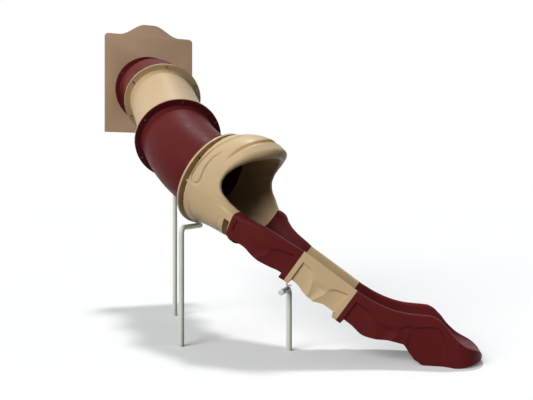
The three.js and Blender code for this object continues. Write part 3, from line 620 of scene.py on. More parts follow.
def pipe_tree():
    """A round pipe along a path whose corners are bent."""
    kinds = {
        "Radius": "Float",
        "Bend radius": "Float",
        "Bend steps": "Int",
        "Steps around": "Int",
        "Material": "Material",
    }
    tree = Maker("Bent pipe", kinds)
    bent = tree.node(
        "GeometryNodeFilletCurve",
        {"mode": "POLY"},
        {
            "Curve": tree.input("Geometry"),
            "Count": tree.input("Bend steps"),
            "Radius": tree.input("Bend radius"),
        },
    )
    section = tree.node(
        "GeometryNodeCurvePrimitiveCircle",
        {"mode": "RADIUS"},
        {"Resolution": tree.input("Steps around"), "Radius": tree.input("Radius")},
    )
    sockets = {"Curve": bent, "Profile Curve": section, "Fill Caps": True}
    return tree.finish(tree.node("GeometryNodeCurveToMesh", sockets=sockets))


def fastener_tree():
    """A bolt at each point: its head there, its shank along Way and its nut at Grip."""
    kinds = {"Head": "Object", "Nut": "Object", "Shank radius": "Float", "Material": "Material"}
    tree = Maker("Bolts", kinds)
    points = tree.input("Geometry")
    way = tree.attribute("way", "FLOAT_VECTOR")
    grip = tree.attribute("grip", "FLOAT")
    turn = tree.node("FunctionNodeAlignRotationToVector", {"axis": "Z"}, {"Vector": way})

    def shifted(share):
        sockets = {"Geometry": points, "Offset": tree.vector("SCALE", way, scale=grip * share)}
        return tree.node("GeometryNodeSetPosition", sockets=sockets)

    sockets = {"Vertices": SHANK_STEPS, "Radius": tree.input("Shank radius"), "Depth": 1.0}
    shank = tree.node("GeometryNodeMeshCylinder", sockets=sockets, out="Mesh")
    stretch = tree.node("ShaderNodeCombineXYZ", sockets={"X": 1.0, "Y": 1.0, "Z": grip})
    join = tree.tree.nodes.new("GeometryNodeJoinGeometry")
    for spots, instance, scale in (
        (points, tree.shape("Head"), None),
        (shifted(-1), tree.shape("Nut"), None),
        (shifted(-0.5), shank, stretch),
    ):
        sockets = {"Points": spots, "Instance": instance, "Rotation": turn, "Scale": scale}
        copies = tree.node("GeometryNodeInstanceOnPoints", sockets=sockets)
        tree.tree.links.new(copies.socket, join.inputs[0])
    return tree.finish(Value(tree.tree, join.outputs[0]))


# Finishes

FINISH_PREFIX = "slide "
MAROON_ROUGHNESS, MAROON_SHINE = 0.46, 0.07
BEIGE_ROUGHNESS, BEIGE_SHINE = 0.40, 0.22
NOISE_LOW, NOISE_HIGH = 0.3, 0.7
GLOSS_DOWN, GLOSS_UP = 0.035, 0.045
SCUFF_CELLS, SCUFF_ROUGHNESS = (9.0, 55.0, 30.0), 0.1
SPECK_TINT, GRAIN_TINT, DUST_TINT = 0.86, 0.88, 0.78
DUST_WAVER, DUST_ROUGHNESS = 0.1, 0.3


class Paint(Nodes):
    """A material whose tree is cleared down to its output."""

    def __init__(self, name):
        self.material = bpy.data.materials.new(name)
        self.material.use_nodes = True
        super().__init__(self.material.node_tree)
        self.tree.nodes.clear()
        self.output = self.tree.nodes.new("ShaderNodeOutputMaterial")
        coordinates = self.tree.nodes.new("ShaderNodeTexCoord")
        self.place = Value(self.tree, coordinates.outputs["Object"])

    def noise(self, cells, detail=2.0, place=None):
        """Soft noise around a half, with so many cells per metre."""
        sockets = {"Vector": place or self.place, "Scale": cells, "Detail": detail}
        return self.node("ShaderNodeTexNoise", sockets=sockets)

    def ramp(self, value, low=NOISE_LOW, high=NOISE_HIGH, start=0.0, end=1.0):
        """Start below low, end above high and a soft step between them."""
        sockets = {
            "Value": value,
            "From Min": low,
            "From Max": high,
            "To Min": start,
            "To Max": end,
        }
        return self.node("ShaderNodeMapRange", {"interpolation_type": "SMOOTHSTEP"}, sockets)

    def mottled(self, noise, base, dark, light):
        """The base colour, from dark to light with the noise."""
        return self.mixed(self.ramp(noise), tinted(base, dark), tinted(base, light))

    def bump(self, height, rise, strength=1.0, under=None):
        sockets = {"Height": height, "Distance": rise, "Strength": strength, "Normal": under}
        return self.node("ShaderNodeBump", sockets=sockets)

    def surface(self, **sockets):
        """The finish itself; the keys are its sockets' names with underscores."""
        named = {key.replace("_", " "): value for key, value in sockets.items()}
        shader = self.node("ShaderNodeBsdfPrincipled", sockets=named)
        self.tree.links.new(shader.socket, self.output.inputs["Surface"])
        return self.material


def tinted(base, factor):
    """A colour darker or lighter than the base."""
    return tuple(min(1.0, channel * factor) for channel in base)


def moulded_plastic(name, base, gloss, shine):
    """Rotationally moulded plastic: soft mottling, a fine orange peel and light scuffs."""
    paint = Paint(name)
    tone = paint.mottled(paint.noise(cells=2.3, detail=3), base, dark=0.955, light=1.03)
    specks = paint.ramp(paint.noise(cells=420), low=0.58, high=0.78, end=0.35)
    tone = paint.mixed(specks, tone, tinted(base, SPECK_TINT))
    sockets = {"Vector": paint.place, "Scale": SCUFF_CELLS}
    stretched = paint.node("ShaderNodeMapping", sockets=sockets)
    scuffs = paint.ramp(paint.noise(cells=1.0, detail=4, place=stretched), low=0.62, high=0.8)
    patches = paint.noise(cells=14, detail=3)
    rough = paint.ramp(patches, start=gloss - GLOSS_DOWN, end=gloss + GLOSS_UP)
    shrink = paint.bump(paint.noise(cells=5.5, detail=1), rise=0.0022)
    peel = paint.bump(paint.noise(cells=170), rise=0.00022, strength=0.6, under=shrink)
    return paint.surface(
        Base_Color=tone,
        Roughness=rough + scuffs * SCUFF_ROUGHNESS,
        Normal=peel,
        IOR=1.45,
        Specular_IOR_Level=shine,
    )


def sheet_board(name, base):
    """Cut plastic board: a matt face with a fine haircell grain."""
    paint = Paint(name)
    grain = paint.noise(cells=650, detail=3)
    tone = paint.mottled(paint.noise(cells=1.7, detail=3), base, dark=0.97, light=1.03)
    specks = paint.ramp(grain, low=0.45, high=0.75, end=0.3)
    tone = paint.mixed(specks, tone, tinted(base, GRAIN_TINT))
    rough = paint.ramp(paint.noise(cells=9, detail=3), start=0.56, end=0.66)
    bump = paint.bump(grain, rise=0.00018, strength=0.7)
    return paint.surface(Base_Color=tone, Roughness=rough, Normal=bump, IOR=1.49)


def powder_coat(name, base):
    """Powder coated steel pipe with a slight orange peel and a little dust at the foot."""
    paint = Paint(name)
    height = paint.node("ShaderNodeSeparateXYZ", sockets={0: paint.place}, out=2)
    edge = height + paint.noise(cells=30, detail=4) * DUST_WAVER
    dust = paint.ramp(edge, low=0.03, high=0.16, start=0.4, end=0.0)
    tone = paint.mottled(paint.noise(cells=6, detail=3), base, dark=0.96, light=1.03)
    tone = paint.mixed(dust, tone, tinted(base, DUST_TINT))
    rough = paint.ramp(paint.noise(cells=24, detail=3), start=0.3, end=0.4)
    rough = rough + dust * DUST_ROUGHNESS
    peel = paint.bump(paint.noise(cells=260), rise=0.0002, strength=0.7)
    return paint.surface(Base_Color=tone, Roughness=rough, Normal=peel, Coat_Weight=0.15, IOR=1.5)


def zinc_plate(name, base):
    """Zinc plated steel with a cloudy passivated sheen."""
    paint = Paint(name)
    cloud = paint.noise(cells=190, detail=4)
    tone = paint.mottled(cloud, base, dark=0.8, light=1.15)
    rough = paint.ramp(cloud, start=0.3, end=0.48)
    bump = paint.bump(cloud, rise=0.0001, strength=0.5)
    return paint.surface(Base_Color=tone, Roughness=rough, Metallic=0.9, Normal=bump)


def cap_plastic(name, base):
    """Moulded plastic of the end caps."""
    paint = Paint(name)
    grain = paint.noise(cells=500)
    tone = paint.mottled(grain, base, dark=0.95, light=1.03)
    rough = paint.ramp(grain, start=0.42, end=0.52)
    bump = paint.bump(grain, rise=0.0001, strength=0.5)
    return paint.surface(Base_Color=tone, Roughness=rough, Normal=bump)


def stage_white(name, base):
    """White floor: where it is seen, part of it is its own light, and it throws little back."""
    paint = Paint(name)
    seen = seen_directly(paint)
    tone = paint.mixed(seen, tinted(base, FLOOR_BOUNCE), base)
    matt = paint.node("ShaderNodeBsdfDiffuse", sockets={"Color": tone})
    glow = paint.node("ShaderNodeEmission", sockets={"Color": (*base, 1.0), "Strength": 1.0})
    mix = paint.node("ShaderNodeMixShader", sockets={0: seen * FLOOR_GLOW, 1: matt, 2: glow})
    paint.tree.links.new(mix.socket, paint.output.inputs["Surface"])
    return paint.material


def seen_directly(nodes):
    """One on rays from the camera, in mirrors and through glass."""
    camera, glossy, clear = nodes.node(
        "ShaderNodeLightPath", out=["Is Camera Ray", "Is Glossy Ray", "Is Transmission Ray"]
    )
    return camera.maths("MAXIMUM", glossy.maths("MAXIMUM", clear))


def finish(name):
    """A finish by the name of its material slot, made once.

    The frame brings in plain materials that bear the slots' own names, so these have a prefix.
    """
    label = FINISH_PREFIX + name
    if label in bpy.data.materials:
        return bpy.data.materials[label]
    makers = {
        "maroon_plastic": (moulded_plastic, "maroon", MAROON_ROUGHNESS, MAROON_SHINE),
        "beige_plastic": (moulded_plastic, "beige", BEIGE_ROUGHNESS, BEIGE_SHINE),
        "panel_board": (sheet_board, "board"),
        "pipe_coat": (powder_coat, "pipe"),
        "cap_plastic": (cap_plastic, "cap"),
        "zinc_steel": (zinc_plate, "zinc"),
        "stage_white": (stage_white, "floor"),
    }
    maker, colour_name, *gloss = makers[name]
    base = tuple(getattr(bpy.context.scene.slide_colours, colour_name))
    return maker(label, base, *gloss)


# The entry panel

ARCH_STEPS, CORNER_STEPS, HOLE_STEPS, BEVEL_STEPS = 24, 9, 128, 2


def panel_outline(s):
    """Right half and then left half of the panel's edge, seen from the front."""
    rise = s.panel_arch - s.panel_shoulder
    arch = np.linspace(s.panel_arch_half, s.panel_arch_flat, ARCH_STEPS)
    share = 1 - eased(arch, s.panel_arch_flat, s.panel_arch_half)
    right = [(s.panel_half, -s.panel_below)]
    for angle in np.linspace(0, math.pi / 2, CORNER_STEPS):
        x = s.panel_half - s.panel_corner * (1 - math.cos(angle))
        right.append((x, s.panel_shoulder - s.panel_corner * (1 - math.sin(angle))))
    right += [(x, s.panel_shoulder + rise * k) for x, k in zip(arch, share)]
    return right + [(-x, y) for x, y in reversed(right)]


def flat_curve(name, outlines, thick, edge):
    """A plate from closed outlines with rounded edges, drawn across X and Y."""
    curve = bpy.data.curves.new(name, "CURVE")
    curve.dimensions = "2D"
    curve.fill_mode = "BOTH"
    for outline in outlines:
        spline = curve.splines.new("POLY")
        spline.points.add(len(outline) - 1)
        spline.use_cyclic_u = True
        for spot, (x, y) in zip(spline.points, outline):
            spot.co = (x, y, 0, 1)
    curve.extrude = thick / 2 - edge
    curve.bevel_depth = edge
    curve.bevel_resolution = BEVEL_STEPS
    curve.offset = -edge
    return linked(name, curve)


def circle(radius, steps):
    """A closed outline of points on a circle."""
    angles = [math.tau * k / steps for k in range(steps)]
    return [(radius * math.cos(t), radius * math.sin(t)) for t in angles]


def entry_panel(s, layout):
    """The board, made flat and stood up in front of the upper tube's flange."""
    outlines = [panel_outline(s), circle(s.barrel - s.wall, HOLE_STEPS)]
    outline = flat_curve("panel outline", outlines, s.panel_thick, s.edge_round)
    plate = baked(outline, "entry_panel_board")
    back = s.panel_thick / 2 + s.joint_gap / 2
    for vertex in plate.data.vertices:
        x, y, z = vertex.co
        vertex.co = layout.entry.at(x, y, z - back)
    kept(plate, "panel_board", "entry_panel")


# The round tubes

TUBE_STEPS = 192
ROUTE_SPACING = 0.005


def tube_profile(s, span):
    """The wall of a flanged tube, as a closed outline of (radius, along)."""
    bore, first, last = s.barrel - s.wall, s.joint_gap / 2, span - s.joint_gap / 2
    edge, root, thick = s.edge_round, s.flange_root, s.flange_thick
    corners = [
        (bore, first, 0),
        (s.flange, first, edge),
        (s.flange, first + thick, edge),
        (s.barrel, first + thick, root),
        (s.barrel, last - thick, root),
        (s.flange, last - thick, edge),
        (s.flange, last, edge),
        (bore, last, 0),
    ]
    return divided(rounded(corners), OUTLINE_SPACING)


def tube(name, node, slot, s, route, span):
    """A flanged tube, turned from its profile along its route."""
    mesh = bpy.data.meshes.new(name)
    mesh.from_pydata([(radius, 0, along) for radius, along in tube_profile(s, span)], [], [])
    samples = max(2, math.ceil(span / ROUTE_SPACING))
    spots = [route(span * k / samples).origin for k in range(samples + 1)]
    path = polyline(name + " route", spots)
    values = {"Route": path, "Steps around": TUBE_STEPS, "Material": finish(slot)}
    piece = turned_tree().applied(linked(name, mesh), name, values)
    bpy.data.objects.remove(path)
    kept(piece, slot, node)


def upper_tube(s, layout):
    """The bent tube from the panel down to the straight one."""
    route, span = layout.upper, layout.upper_length
    tube("upper_tube_shell", "upper_tube_bend", "maroon_plastic", s, route, span)


def straight_tube(s, layout):
    """The straight tube between the bent ones."""
    route, span = layout.b.moved, s.straight_length
    tube("straight_tube_shell", "straight_tube", "beige_plastic", s, route, span)


def lower_tube(s, layout):
    """The bent tube that turns left to the hood."""
    route, span = layout.lower, layout.lower_length
    tube("lower_tube_shell", "lower_tube_bend", "maroon_plastic", s, route, span)


# The exit hood. Its tables run by the angle from its bottom, in degrees: how far the
# mouth's edge lies along the hood, the brow's size and the side's radius at the edge.

HOOD_POWER = 3.6
EDGE_SHARES = [
    (88, 0.985), (90, 0.92), (92, 0.86), (96, 0.755), (101, 0.64), (107, 0.58), (113, 0.555),
    (120, 0.555), (130, 0.585), (140, 0.64), (150, 0.7), (160, 0.77), (170, 0.82), (180, 0.84),
]
LIP_SHARES = [
    (88, 0.2), (92, 0.28), (96, 0.36), (113, 0.42), (130, 0.6), (150, 0.9), (165, 1), (180, 1),
]
SIDE_SHARES = [(88, 0.77), (92, 0.86), (96, 0.94), (101, 0.985), (107, 1), (180, 1)]
TOP_SHARES = [
    (0.08, 0.19), (0.32, 0.67), (0.46, 0.86), (0.56, 0.95), (0.65, 1), (0.76, 0.96), (0.9, 0.9),
]

# Angles between which the joint rises to its rail, the side leaves the joint, the edge opens
# from the joint to the mouth, the wall gets steeper and the top swells
SHOULDER_ANGLE, RAIL_ANGLE = 82.6, 88.0
SIDE_START_ANGLE, SIDE_END_ANGLE = 78.0, 101.0
OPEN_START_ANGLE, OPEN_END_ANGLE = 86.4, 89.0
STEEP_START_ANGLE, STEEP_END_ANGLE = 60.0, 90.0
SWELL_START_ANGLE, SWELL_END_ANGLE = 95.0, 180.0
FOOT_EASE, TURN_IN_POWER = 0.8, 6
SHOULDER, SHOULDER_STEPS = 0.014, 6
LIP_STEPS, INSIDE_STEPS = 15, 25
HOOD_SHARP_ANGLE = 50


def bowl_radius(s, angle):
    """The round of the joint under the hood without its rails, seen from the hood's axis."""
    t = math.radians(angle)
    side = (abs(math.sin(t)) / s.upper_half) ** HOOD_POWER
    foot = (abs(math.cos(t)) / s.hood_depth) ** HOOD_POWER
    return (side + foot) ** (-1 / HOOD_POWER)


def joint_radius(s, angle):
    """The outer edge of that joint."""
    bowl = bowl_radius(s, angle)
    return bowl + (s.upper_crest + s.wall - bowl) * eased(angle, SHOULDER_ANGLE, RAIL_ANGLE)


def side_radius(s, angle):
    """Where the hood's side heads for, from that round to the mouth's sides."""
    bowl = bowl_radius(s, min(angle, 90))
    return bowl + (s.hood_mouth - bowl) * eased(angle, SIDE_START_ANGLE, SIDE_END_ANGLE)


def trough_radius(s, angle):
    """The chute's bed at that joint, seen from the hood's axis."""
    lift = s.upper_inner - s.upper_trough - s.crest_drop
    c = math.cos(math.radians(angle))
    return -lift * c + math.sqrt(lift * lift * (c * c - 1) + s.upper_inner * s.upper_inner)


class HoodWall:
    """The hood's wall at one angle from its bottom."""

    def __init__(self, s, angle):
        self.s = s
        self.angle = angle
        self.opened = eased(angle, OPEN_START_ANGLE, OPEN_END_ANGLE)
        self.steepened = eased(angle, STEEP_START_ANGLE, STEEP_END_ANGLE)
        self.swell = s.hood_rise * eased(angle, SWELL_START_ANGLE, SWELL_END_ANGLE)
        self.lip = s.brow * read(LIP_SHARES, angle) * self.opened
        closed_edge = s.hood_length - s.joint_gap
        open_edge = s.hood_length * read(EDGE_SHARES, angle)
        self.edge = closed_edge + (open_edge - closed_edge) * self.opened
        side = s.hood_mouth * read(SIDE_SHARES, angle)
        joint = joint_radius(s, min(angle, RAIL_ANGLE))
        self.outer_end = joint + (side - joint) * self.opened
        self.side_end = side_radius(s, angle)

    def outer(self, a):
        """The outer wall's radius at a along the hood."""
        s = self.s
        t = np.clip((a - s.hood_groove_end) / (self.edge - s.hood_groove_end), 0, 1)
        t = t ** (FOOT_EASE + (1 - FOOT_EASE) * self.steepened)
        top = self.swell * read(TOP_SHARES, a / s.hood_length)
        turned_in = (self.outer_end - self.side_end) * t**TURN_IN_POWER
        return s.hood_back + (self.side_end - s.hood_back) * t + turned_in + top

    def inner(self, a):
        """The inner wall's radius at a along the hood."""
        s = self.s
        start = s.barrel - s.wall
        tip = self.outer(self.edge) - 2 * self.lip
        bed = trough_radius(s, min(self.angle, 90))
        end = bed + (tip - bed) * self.opened
        return start + (end - start) * (a / self.edge) ** (1 + self.steepened)

    def back(self):
        """Points of (radius, along) from the bore over the flange, the groove and a shoulder."""
        s = self.s
        bore, edge, end = s.barrel - s.wall, s.edge_round, s.hood_groove_end
        start = self.outer(end)
        off = min(abs(self.angle - rib) for rib in RIB_ANGLES)
        groove = s.hood_groove + RIB_RISE * eased(off, RIB_HALF_ANGLE, RIB_HALF_ANGLE - RIB_SIDE)
        corners = [
            (bore, 0, 0),
            (s.hood_flange, 0, edge),
            (s.hood_flange, s.hood_flange_thick, edge),
            (groove, s.hood_flange_thick, 2 * edge),
            (groove, end, 2 * edge),
            (start, end, 0),
            (start, end * 2, 0),
            (bore, end * 2, 0),
        ]
        points = rounded(corners)[:-3]
        for t in np.linspace(0, math.pi / 2, SHOULDER_STEPS):
            drop = SHOULDER * (1 - math.sin(t))
            a = end + SHOULDER * (1 - math.cos(t))
            points.append((self.outer(a) - drop, a))
        return points

    def body(self):
        """Points of the outer wall, from that shoulder to the edge."""
        start = self.s.hood_groove_end + SHOULDER
        run = start + (self.edge - start) * HOOD_RUN[1:]
        return np.stack([self.outer(run), run], -1)

    def lip_and_inside(self):
        """Points round the lip, or across the joint's face, and back along the inner wall."""
        outer, inner = self.outer(self.edge), self.inner(self.edge)
        turns = np.linspace(0, math.pi, LIP_STEPS)[1:-1]
        radius = outer - self.lip + self.lip * np.cos(turns)
        rolled = np.stack([radius, self.edge + self.lip * np.sin(turns)], -1)
        share = (1 - np.cos(turns)) / 2
        flat = np.stack([outer + (inner - outer) * share, np.full_like(share, self.edge)], -1)
        ends = flat + (rolled - flat) * self.opened
        home = self.edge * np.linspace(1, 0, INSIDE_STEPS)[:-1]
        return np.vstack([ends, np.stack([self.inner(home), home], -1)])


HOOD_RUN = spaced([(0, 88), (0.86, 36), (1, 1)])
HOOD_ANGLES = spaced(
    [(0, 36), (45, 14), (49, 16), (71, 14), (75, 12), (86, 16), (90, 56), (138, 40), (180, 1)]
)

# Grooves of the hood as paths of (angle, share of the hood's length), with depths and widths
LOOP_GROOVE = [
    (168, 0.285), (156.3, 0.253), (145.9, 0.2), (132.5, 0.167), (116.9, 0.142), (105.8, 0.127),
    (97.7, 0.133), (93.4, 0.15), (91, 0.2), (92, 0.25), (95.5, 0.28), (98.8, 0.288), (104.9, 0.275),
    (111.5, 0.26), (118.5, 0.26), (127.2, 0.275), (136, 0.327),
]
FOOT_GROOVE = [(66, 0.225), (59.8, 0.24), (48, 0.248), (36.7, 0.27), (27, 0.31)]
SEAM_GROOVE = [(73, 0.83), (68, 0.79), (63, 0.81), (58, 0.77), (52, 0.80), (47, 0.78)]
GROOVES = (
    (LOOP_GROOVE, 0.0125, 0.0105), (FOOT_GROOVE, 0.006, 0.010), (SEAM_GROOVE, 0.0045, 0.007),
)

# The crease behind the brow: how many lips back from the edge, its depth and its width
CREASE_BACK, CREASE_DEPTH, CREASE_WIDTH = 1.9, 0.022, 0.016
CREASE_START_ANGLE, CREASE_END_ANGLE = 124, 150
RIB_ANGLES = (89, 135)
RIB_HALF_ANGLE, RIB_SIDE, RIB_RISE = 2.2, 1.0, 0.040
POCKET_ANGLE, POCKET_HALF_ANGLE, POCKET_SIDE = 60, 13.4, 0.6
POCKET_FLOOR, POCKET_LENGTH, POCKET_RAMP = 0.310, 0.060, 0.004
HOOD_END_WALL = 0.010


def hood_relief(s, angle, a, wall):
    """How far the moulded details push the hood's outer wall in or out."""
    crease = wall.edge - CREASE_BACK * wall.lip
    depth = CREASE_DEPTH * eased(angle, CREASE_START_ANGLE, CREASE_END_ANGLE)
    relief = -depth * np.exp(-(((a - crease) / CREASE_WIDTH) ** 2))
    around = np.full_like(a, math.radians(angle) * s.hood_back)
    for path, deep, wide in GROOVES:
        spots = [(math.radians(t) * s.hood_back, share * s.hood_length) for t, share in path]
        relief -= deep * np.exp(-((distance_to_path(around, a, spots) / wide) ** 2))
    off = abs(angle - POCKET_ANGLE)
    brink, foot = POCKET_HALF_ANGLE + POCKET_SIDE, POCKET_HALF_ANGLE - POCKET_SIDE
    if off < brink:
        end = s.hood_length - s.joint_gap / 2 - HOOD_END_WALL
        inside = between(a, end - POCKET_LENGTH, end, POCKET_RAMP) * eased(off, brink, foot)
        floor = POCKET_FLOOR / math.cos(math.radians(off))
        relief += (floor - wall.outer(a) - relief) * inside
    return relief


def exit_hood(s, layout):
    """The hood, from the outlines of its wall at angles all round its axis."""
    rings = []
    for angle in np.concatenate([HOOD_ANGLES, -HOOD_ANGLES[-2:0:-1]]):
        wall = HoodWall(s, abs(angle))
        body = wall.body()
        body[:, 0] += hood_relief(s, abs(angle), body[:, 1], wall)
        outline = np.vstack([wall.back(), body, wall.lip_and_inside()])
        turn = math.radians(angle)
        radius, along = outline[:, 0], outline[:, 1] + s.joint_gap / 2
        rings.append(layout.d.points(radius * math.sin(turn), -radius * math.cos(turn), along))
    body = grid(np.array(rings), close_rows=True, close_columns=True)
    piece = solid("exit_hood_shell", [body])
    kept(piece, "beige_plastic", "exit_hood", sharp=HOOD_SHARP_ANGLE)


# The open chutes. Depths below the rail run as shares of the flange's depth.

UPPER_POWER = 2.1
CHUTE_POWER = 2.6
UPPER_SKIRT_SHARES = [
    (0, 0.75), (0.33, 0.79), (0.5, 0.9), (0.6, 0.93), (0.75, 0.9), (0.88, 0.856), (1, 0.856),
]
MIDDLE_SKIRT_SHARES = [
    (0, 0.856), (0.165, 0.856), (0.25, 0.88), (0.33, 0.93), (0.48, 0.967), (0.56, 0.97),
    (0.6, 0.935), (0.73, 0.863), (1, 0.85),
]
EXIT_HEIGHT_SHARES = [
    (0, 1), (0.085, 0.8978), (0.165, 0.8167), (0.246, 0.7533), (0.324, 0.7089), (0.402, 0.6811),
    (0.48, 0.67), (0.578, 0.6556), (0.639, 0.6056), (0.676, 0.5378), (0.707, 0.4767),
    (0.745, 0.3789), (0.783, 0.3033), (0.822, 0.2389), (0.862, 0.1933), (0.9, 0.1622),
    (0.935, 0.1322), (0.964, 0.0956), (0.986, 0.0511), (1, 0),
]
EXIT_TILT_SHARES = [
    (0, 1), (0.085, 0.861), (0.165, 0.722), (0.246, 0.556), (0.324, 0.417), (0.402, 0.278),
    (0.446, 0.19), (0.524, 0),
]
EXIT_TROUGH_SHARES = [
    (0, 1), (0.165, 1.01), (0.246, 1.07), (0.324, 1.07), (0.402, 1.02), (0.578, 1), (0.639, 0.909),
    (0.676, 0.8), (0.707, 0.68), (0.745, 0.477), (0.783, 0.327), (0.822, 0.2), (0.862, 0.123),
    (0.9, 0.077), (0.935, 0.05), (1, 0.03),
]
EXIT_SKIRT_SHARES = [
    (0, 0.85), (0.085, 0.882), (0.165, 0.97), (0.246, 0.908), (0.324, 0.827), (0.402, 0.843),
    (0.446, 1.06), (0.48, 1.258),
]
TOE_LIFT_SHARES = [
    (0.783, 0), (0.83, 0.12), (0.885, 0.32), (0.935, 0.52), (0.964, 0.66), (0.986, 0.82), (1, 1),
]
EXIT_ROWS = [(0.6, 60), (0.86, 24), (0.96, 20), (0.9985, 1)]
FOOT_START_SHARE = 0.524
LOBES_FADE_SHARE, LOBES_END_SHARE = 0.38, 0.5

# The foot's inset side panel by the share of the chute: its edge below the rail, in metres,
# and the width of the ramp under the edge
FOOT_EDGE = [
    (0.39, 0.1), (0.44, 0.105), (0.52, 0.095), (0.59, 0.084), (0.655, 0.07), (0.675, 0.085),
    (0.69, 0.12), (0.705, 0.19), (0.72, 0.235), (0.75, 0.262), (0.78, 0.32), (1, 0.5),
]
FOOT_RAMP = [(0.39, 0.012), (0.655, 0.014), (0.69, 0.035), (0.72, 0.035), (0.78, 0.02)]
FOOT_INSET, FOOT_LEAN, FOOT_RUN_IN = 0.014, 0.1, 0.06
TOE_START_SHARE = 0.773
TOE_RIM, TOE_FLATTENING = 0.00811, 0.8

# The lobes in a chute's side: where the recess starts below the rail, its ramp, and two
# ridges, by the share of the recess's length and of the flange's depth
LOBE_TOP_SHARES = [
    (0, 0.25), (0.18, 0.262), (0.33, 0.36), (0.5, 0.4), (0.66, 0.36), (0.83, 0.27), (1, 0.22),
]
LOBE_RAMP_SHARES = [(0, 0.04), (0.2, 0.07), (0.36, 0.2), (0.62, 0.2), (0.76, 0.1), (1, 0.05)]
LOBE_RIDGES = [
    [(0.33, 0.36), (0.349, 0.52), (0.401, 0.77), (0.42, 1.0)],
    [(0.662, 0.36), (0.66, 0.64), (0.572, 0.88), (0.54, 1.0)],
]
LOBE_STRETCH = 1.5
RIDGE_HEIGHT, RIDGE_CROWN, RIDGE_FLANK = 0.5, 0.006, 0.07
SCOOP_DEEPER, SCOOP_REACH = 0.35, 0.3

# Points of a section: along its side, round the heel, over the rail, down the bed and below
SIDE_POINTS, HEEL_POINTS, RAIL_POINTS, BED_POINTS = 56, 7, 9, 30
HIDDEN_POINTS, BELLY_POINTS, WEB_POINTS = 22, 16, 18
BED_START_ANGLE, BELLY_START_ANGLE, WEB_START_ANGLE = 4, 16, 12
TUCK_START_SHARE, TUCK_POWER, SHORTEST_TUCK = 0.4, 1.3, 0.01

# The shelf under a rail: its distance from the side and its depth, in walls and troughs
SHELF_SIDE_WALLS, SHELF_DOWN_WALLS, SHELF_DOWN_TROUGHS = 1.5, 1.2, 0.02

# Rows along a chute: how far the shell stands back from a joint, and its step at a band
ROW_INSET, BAND_STEP = 0.0005, 0.0006
BAND_ROWS, TAIL_ROWS, TAIL_LENGTH = 4, 6, 0.02


class Section(NamedTuple):
    """The sizes of one section across a chute."""

    half: float
    crest: float
    inner: float
    shoulder: float
    trough: float
    tuck: float
    power: float

    def towards(self, other, k):
        return Section(*(a + (b - a) * k for a, b in zip(self, other)))


def start_section(s):
    """The section at the hood."""
    widths = (s.upper_half, s.upper_crest, s.upper_inner)
    return Section(*widths, s.upper_shoulder, s.upper_trough, s.skirt_tuck, UPPER_POWER)


def chute_section(s):
    """The section of the lower chutes."""
    widths = (s.chute_half, s.chute_crest, s.chute_inner)
    return Section(*widths, s.chute_shoulder, s.chute_trough, 0.0, CHUTE_POWER)


def bowl(section, extra, angles):
    """Points down the bed's curve, from the inner wall to the middle."""
    power = 2 / section.power
    w = (section.inner + extra) * np.cos(angles) ** power
    return np.stack([w, -(section.trough + extra) * np.sin(angles) ** power], -1)


def section_loop(s, section, skirt, inset):
    """A closed outline of (w, n): up the right side, over the bed, down the left and back under."""
    v = section
    foot = s.wall / 2
    start = min(s.recess_top, skirt * TUCK_START_SHARE) + v.shoulder / 2

    def side(n):
        lean = np.clip((-n - start) / max(skirt - start, SHORTEST_TUCK), 0, 1) ** TUCK_POWER
        return v.half - v.tuck * lean - inset(-n)

    n = -np.linspace(skirt - foot, v.shoulder, SIDE_POINTS)
    flank = np.stack([side(n), n], -1)
    turn = np.linspace(-math.pi, 0, HEEL_POINTS)[1:-1]
    heel = flank[0] + foot * np.stack([np.cos(turn) - 1, np.sin(turn)], -1)
    quarter = np.linspace(0, math.pi / 2, RAIL_POINTS)
    crown = v.crest + (v.half - v.crest) * np.cos(quarter)
    rail = np.stack([crown, v.shoulder * (np.sin(quarter) - 1)], -1)
    bed = bowl(v, 0.0, np.radians(np.linspace(BED_START_ANGLE, 90, BED_POINTS)))
    w0, n0 = bed[0]
    wall = v.crest - (v.crest - w0) * np.sin(quarter)
    inside = np.stack([wall, n0 * (1 - np.cos(quarter))], -1)
    top = np.vstack([heel, flank, rail[1:], inside[1:-1], bed])
    n = -np.linspace(skirt - foot, v.shoulder + s.wall * 2, HIDDEN_POINTS)
    hidden = np.stack([side(n) - s.wall, n], -1)
    shelf = min(v.crest, v.half - s.wall * SHELF_SIDE_WALLS)
    shelf_depth = s.wall * SHELF_DOWN_WALLS + v.trough * SHELF_DOWN_TROUGHS
    belly = bowl(v, s.wall, np.radians(np.linspace(BELLY_START_ANGLE, 90, BELLY_POINTS)))
    belly[:, 0] *= min(1.0, shelf / (v.inner + s.wall))
    under = np.vstack([hidden, [[shelf, -shelf_depth]], belly])
    flip = np.array([-1, 1])
    return np.vstack([top, top[-2::-1] * flip, under * flip, under[-2::-1]])


def lobe_inset(s, share, depth):
    """How far the lobed recess goes in, at a share of its length and a depth below the rail."""
    if not 0 < share < 1:
        return np.zeros_like(depth)
    full = s.chute_depth
    top = full * read(LOBE_TOP_SHARES, share)
    ramp = full * read(LOBE_RAMP_SHARES, share)
    inset = s.recess_depth * smooth((depth - top) / ramp)
    x = np.full_like(depth, share * LOBE_STRETCH)
    paths = [[(along * LOBE_STRETCH, down) for along, down in ridge] for ridge in LOBE_RIDGES]
    away = np.minimum(*(distance_to_path(x, depth / full, path) for path in paths))
    scoop = 1 - RIDGE_HEIGHT * np.exp(-np.maximum(away - RIDGE_CROWN, 0) / RIDGE_FLANK)
    return inset * scoop * (1 + SCOOP_DEEPER * smooth(away / SCOOP_REACH))


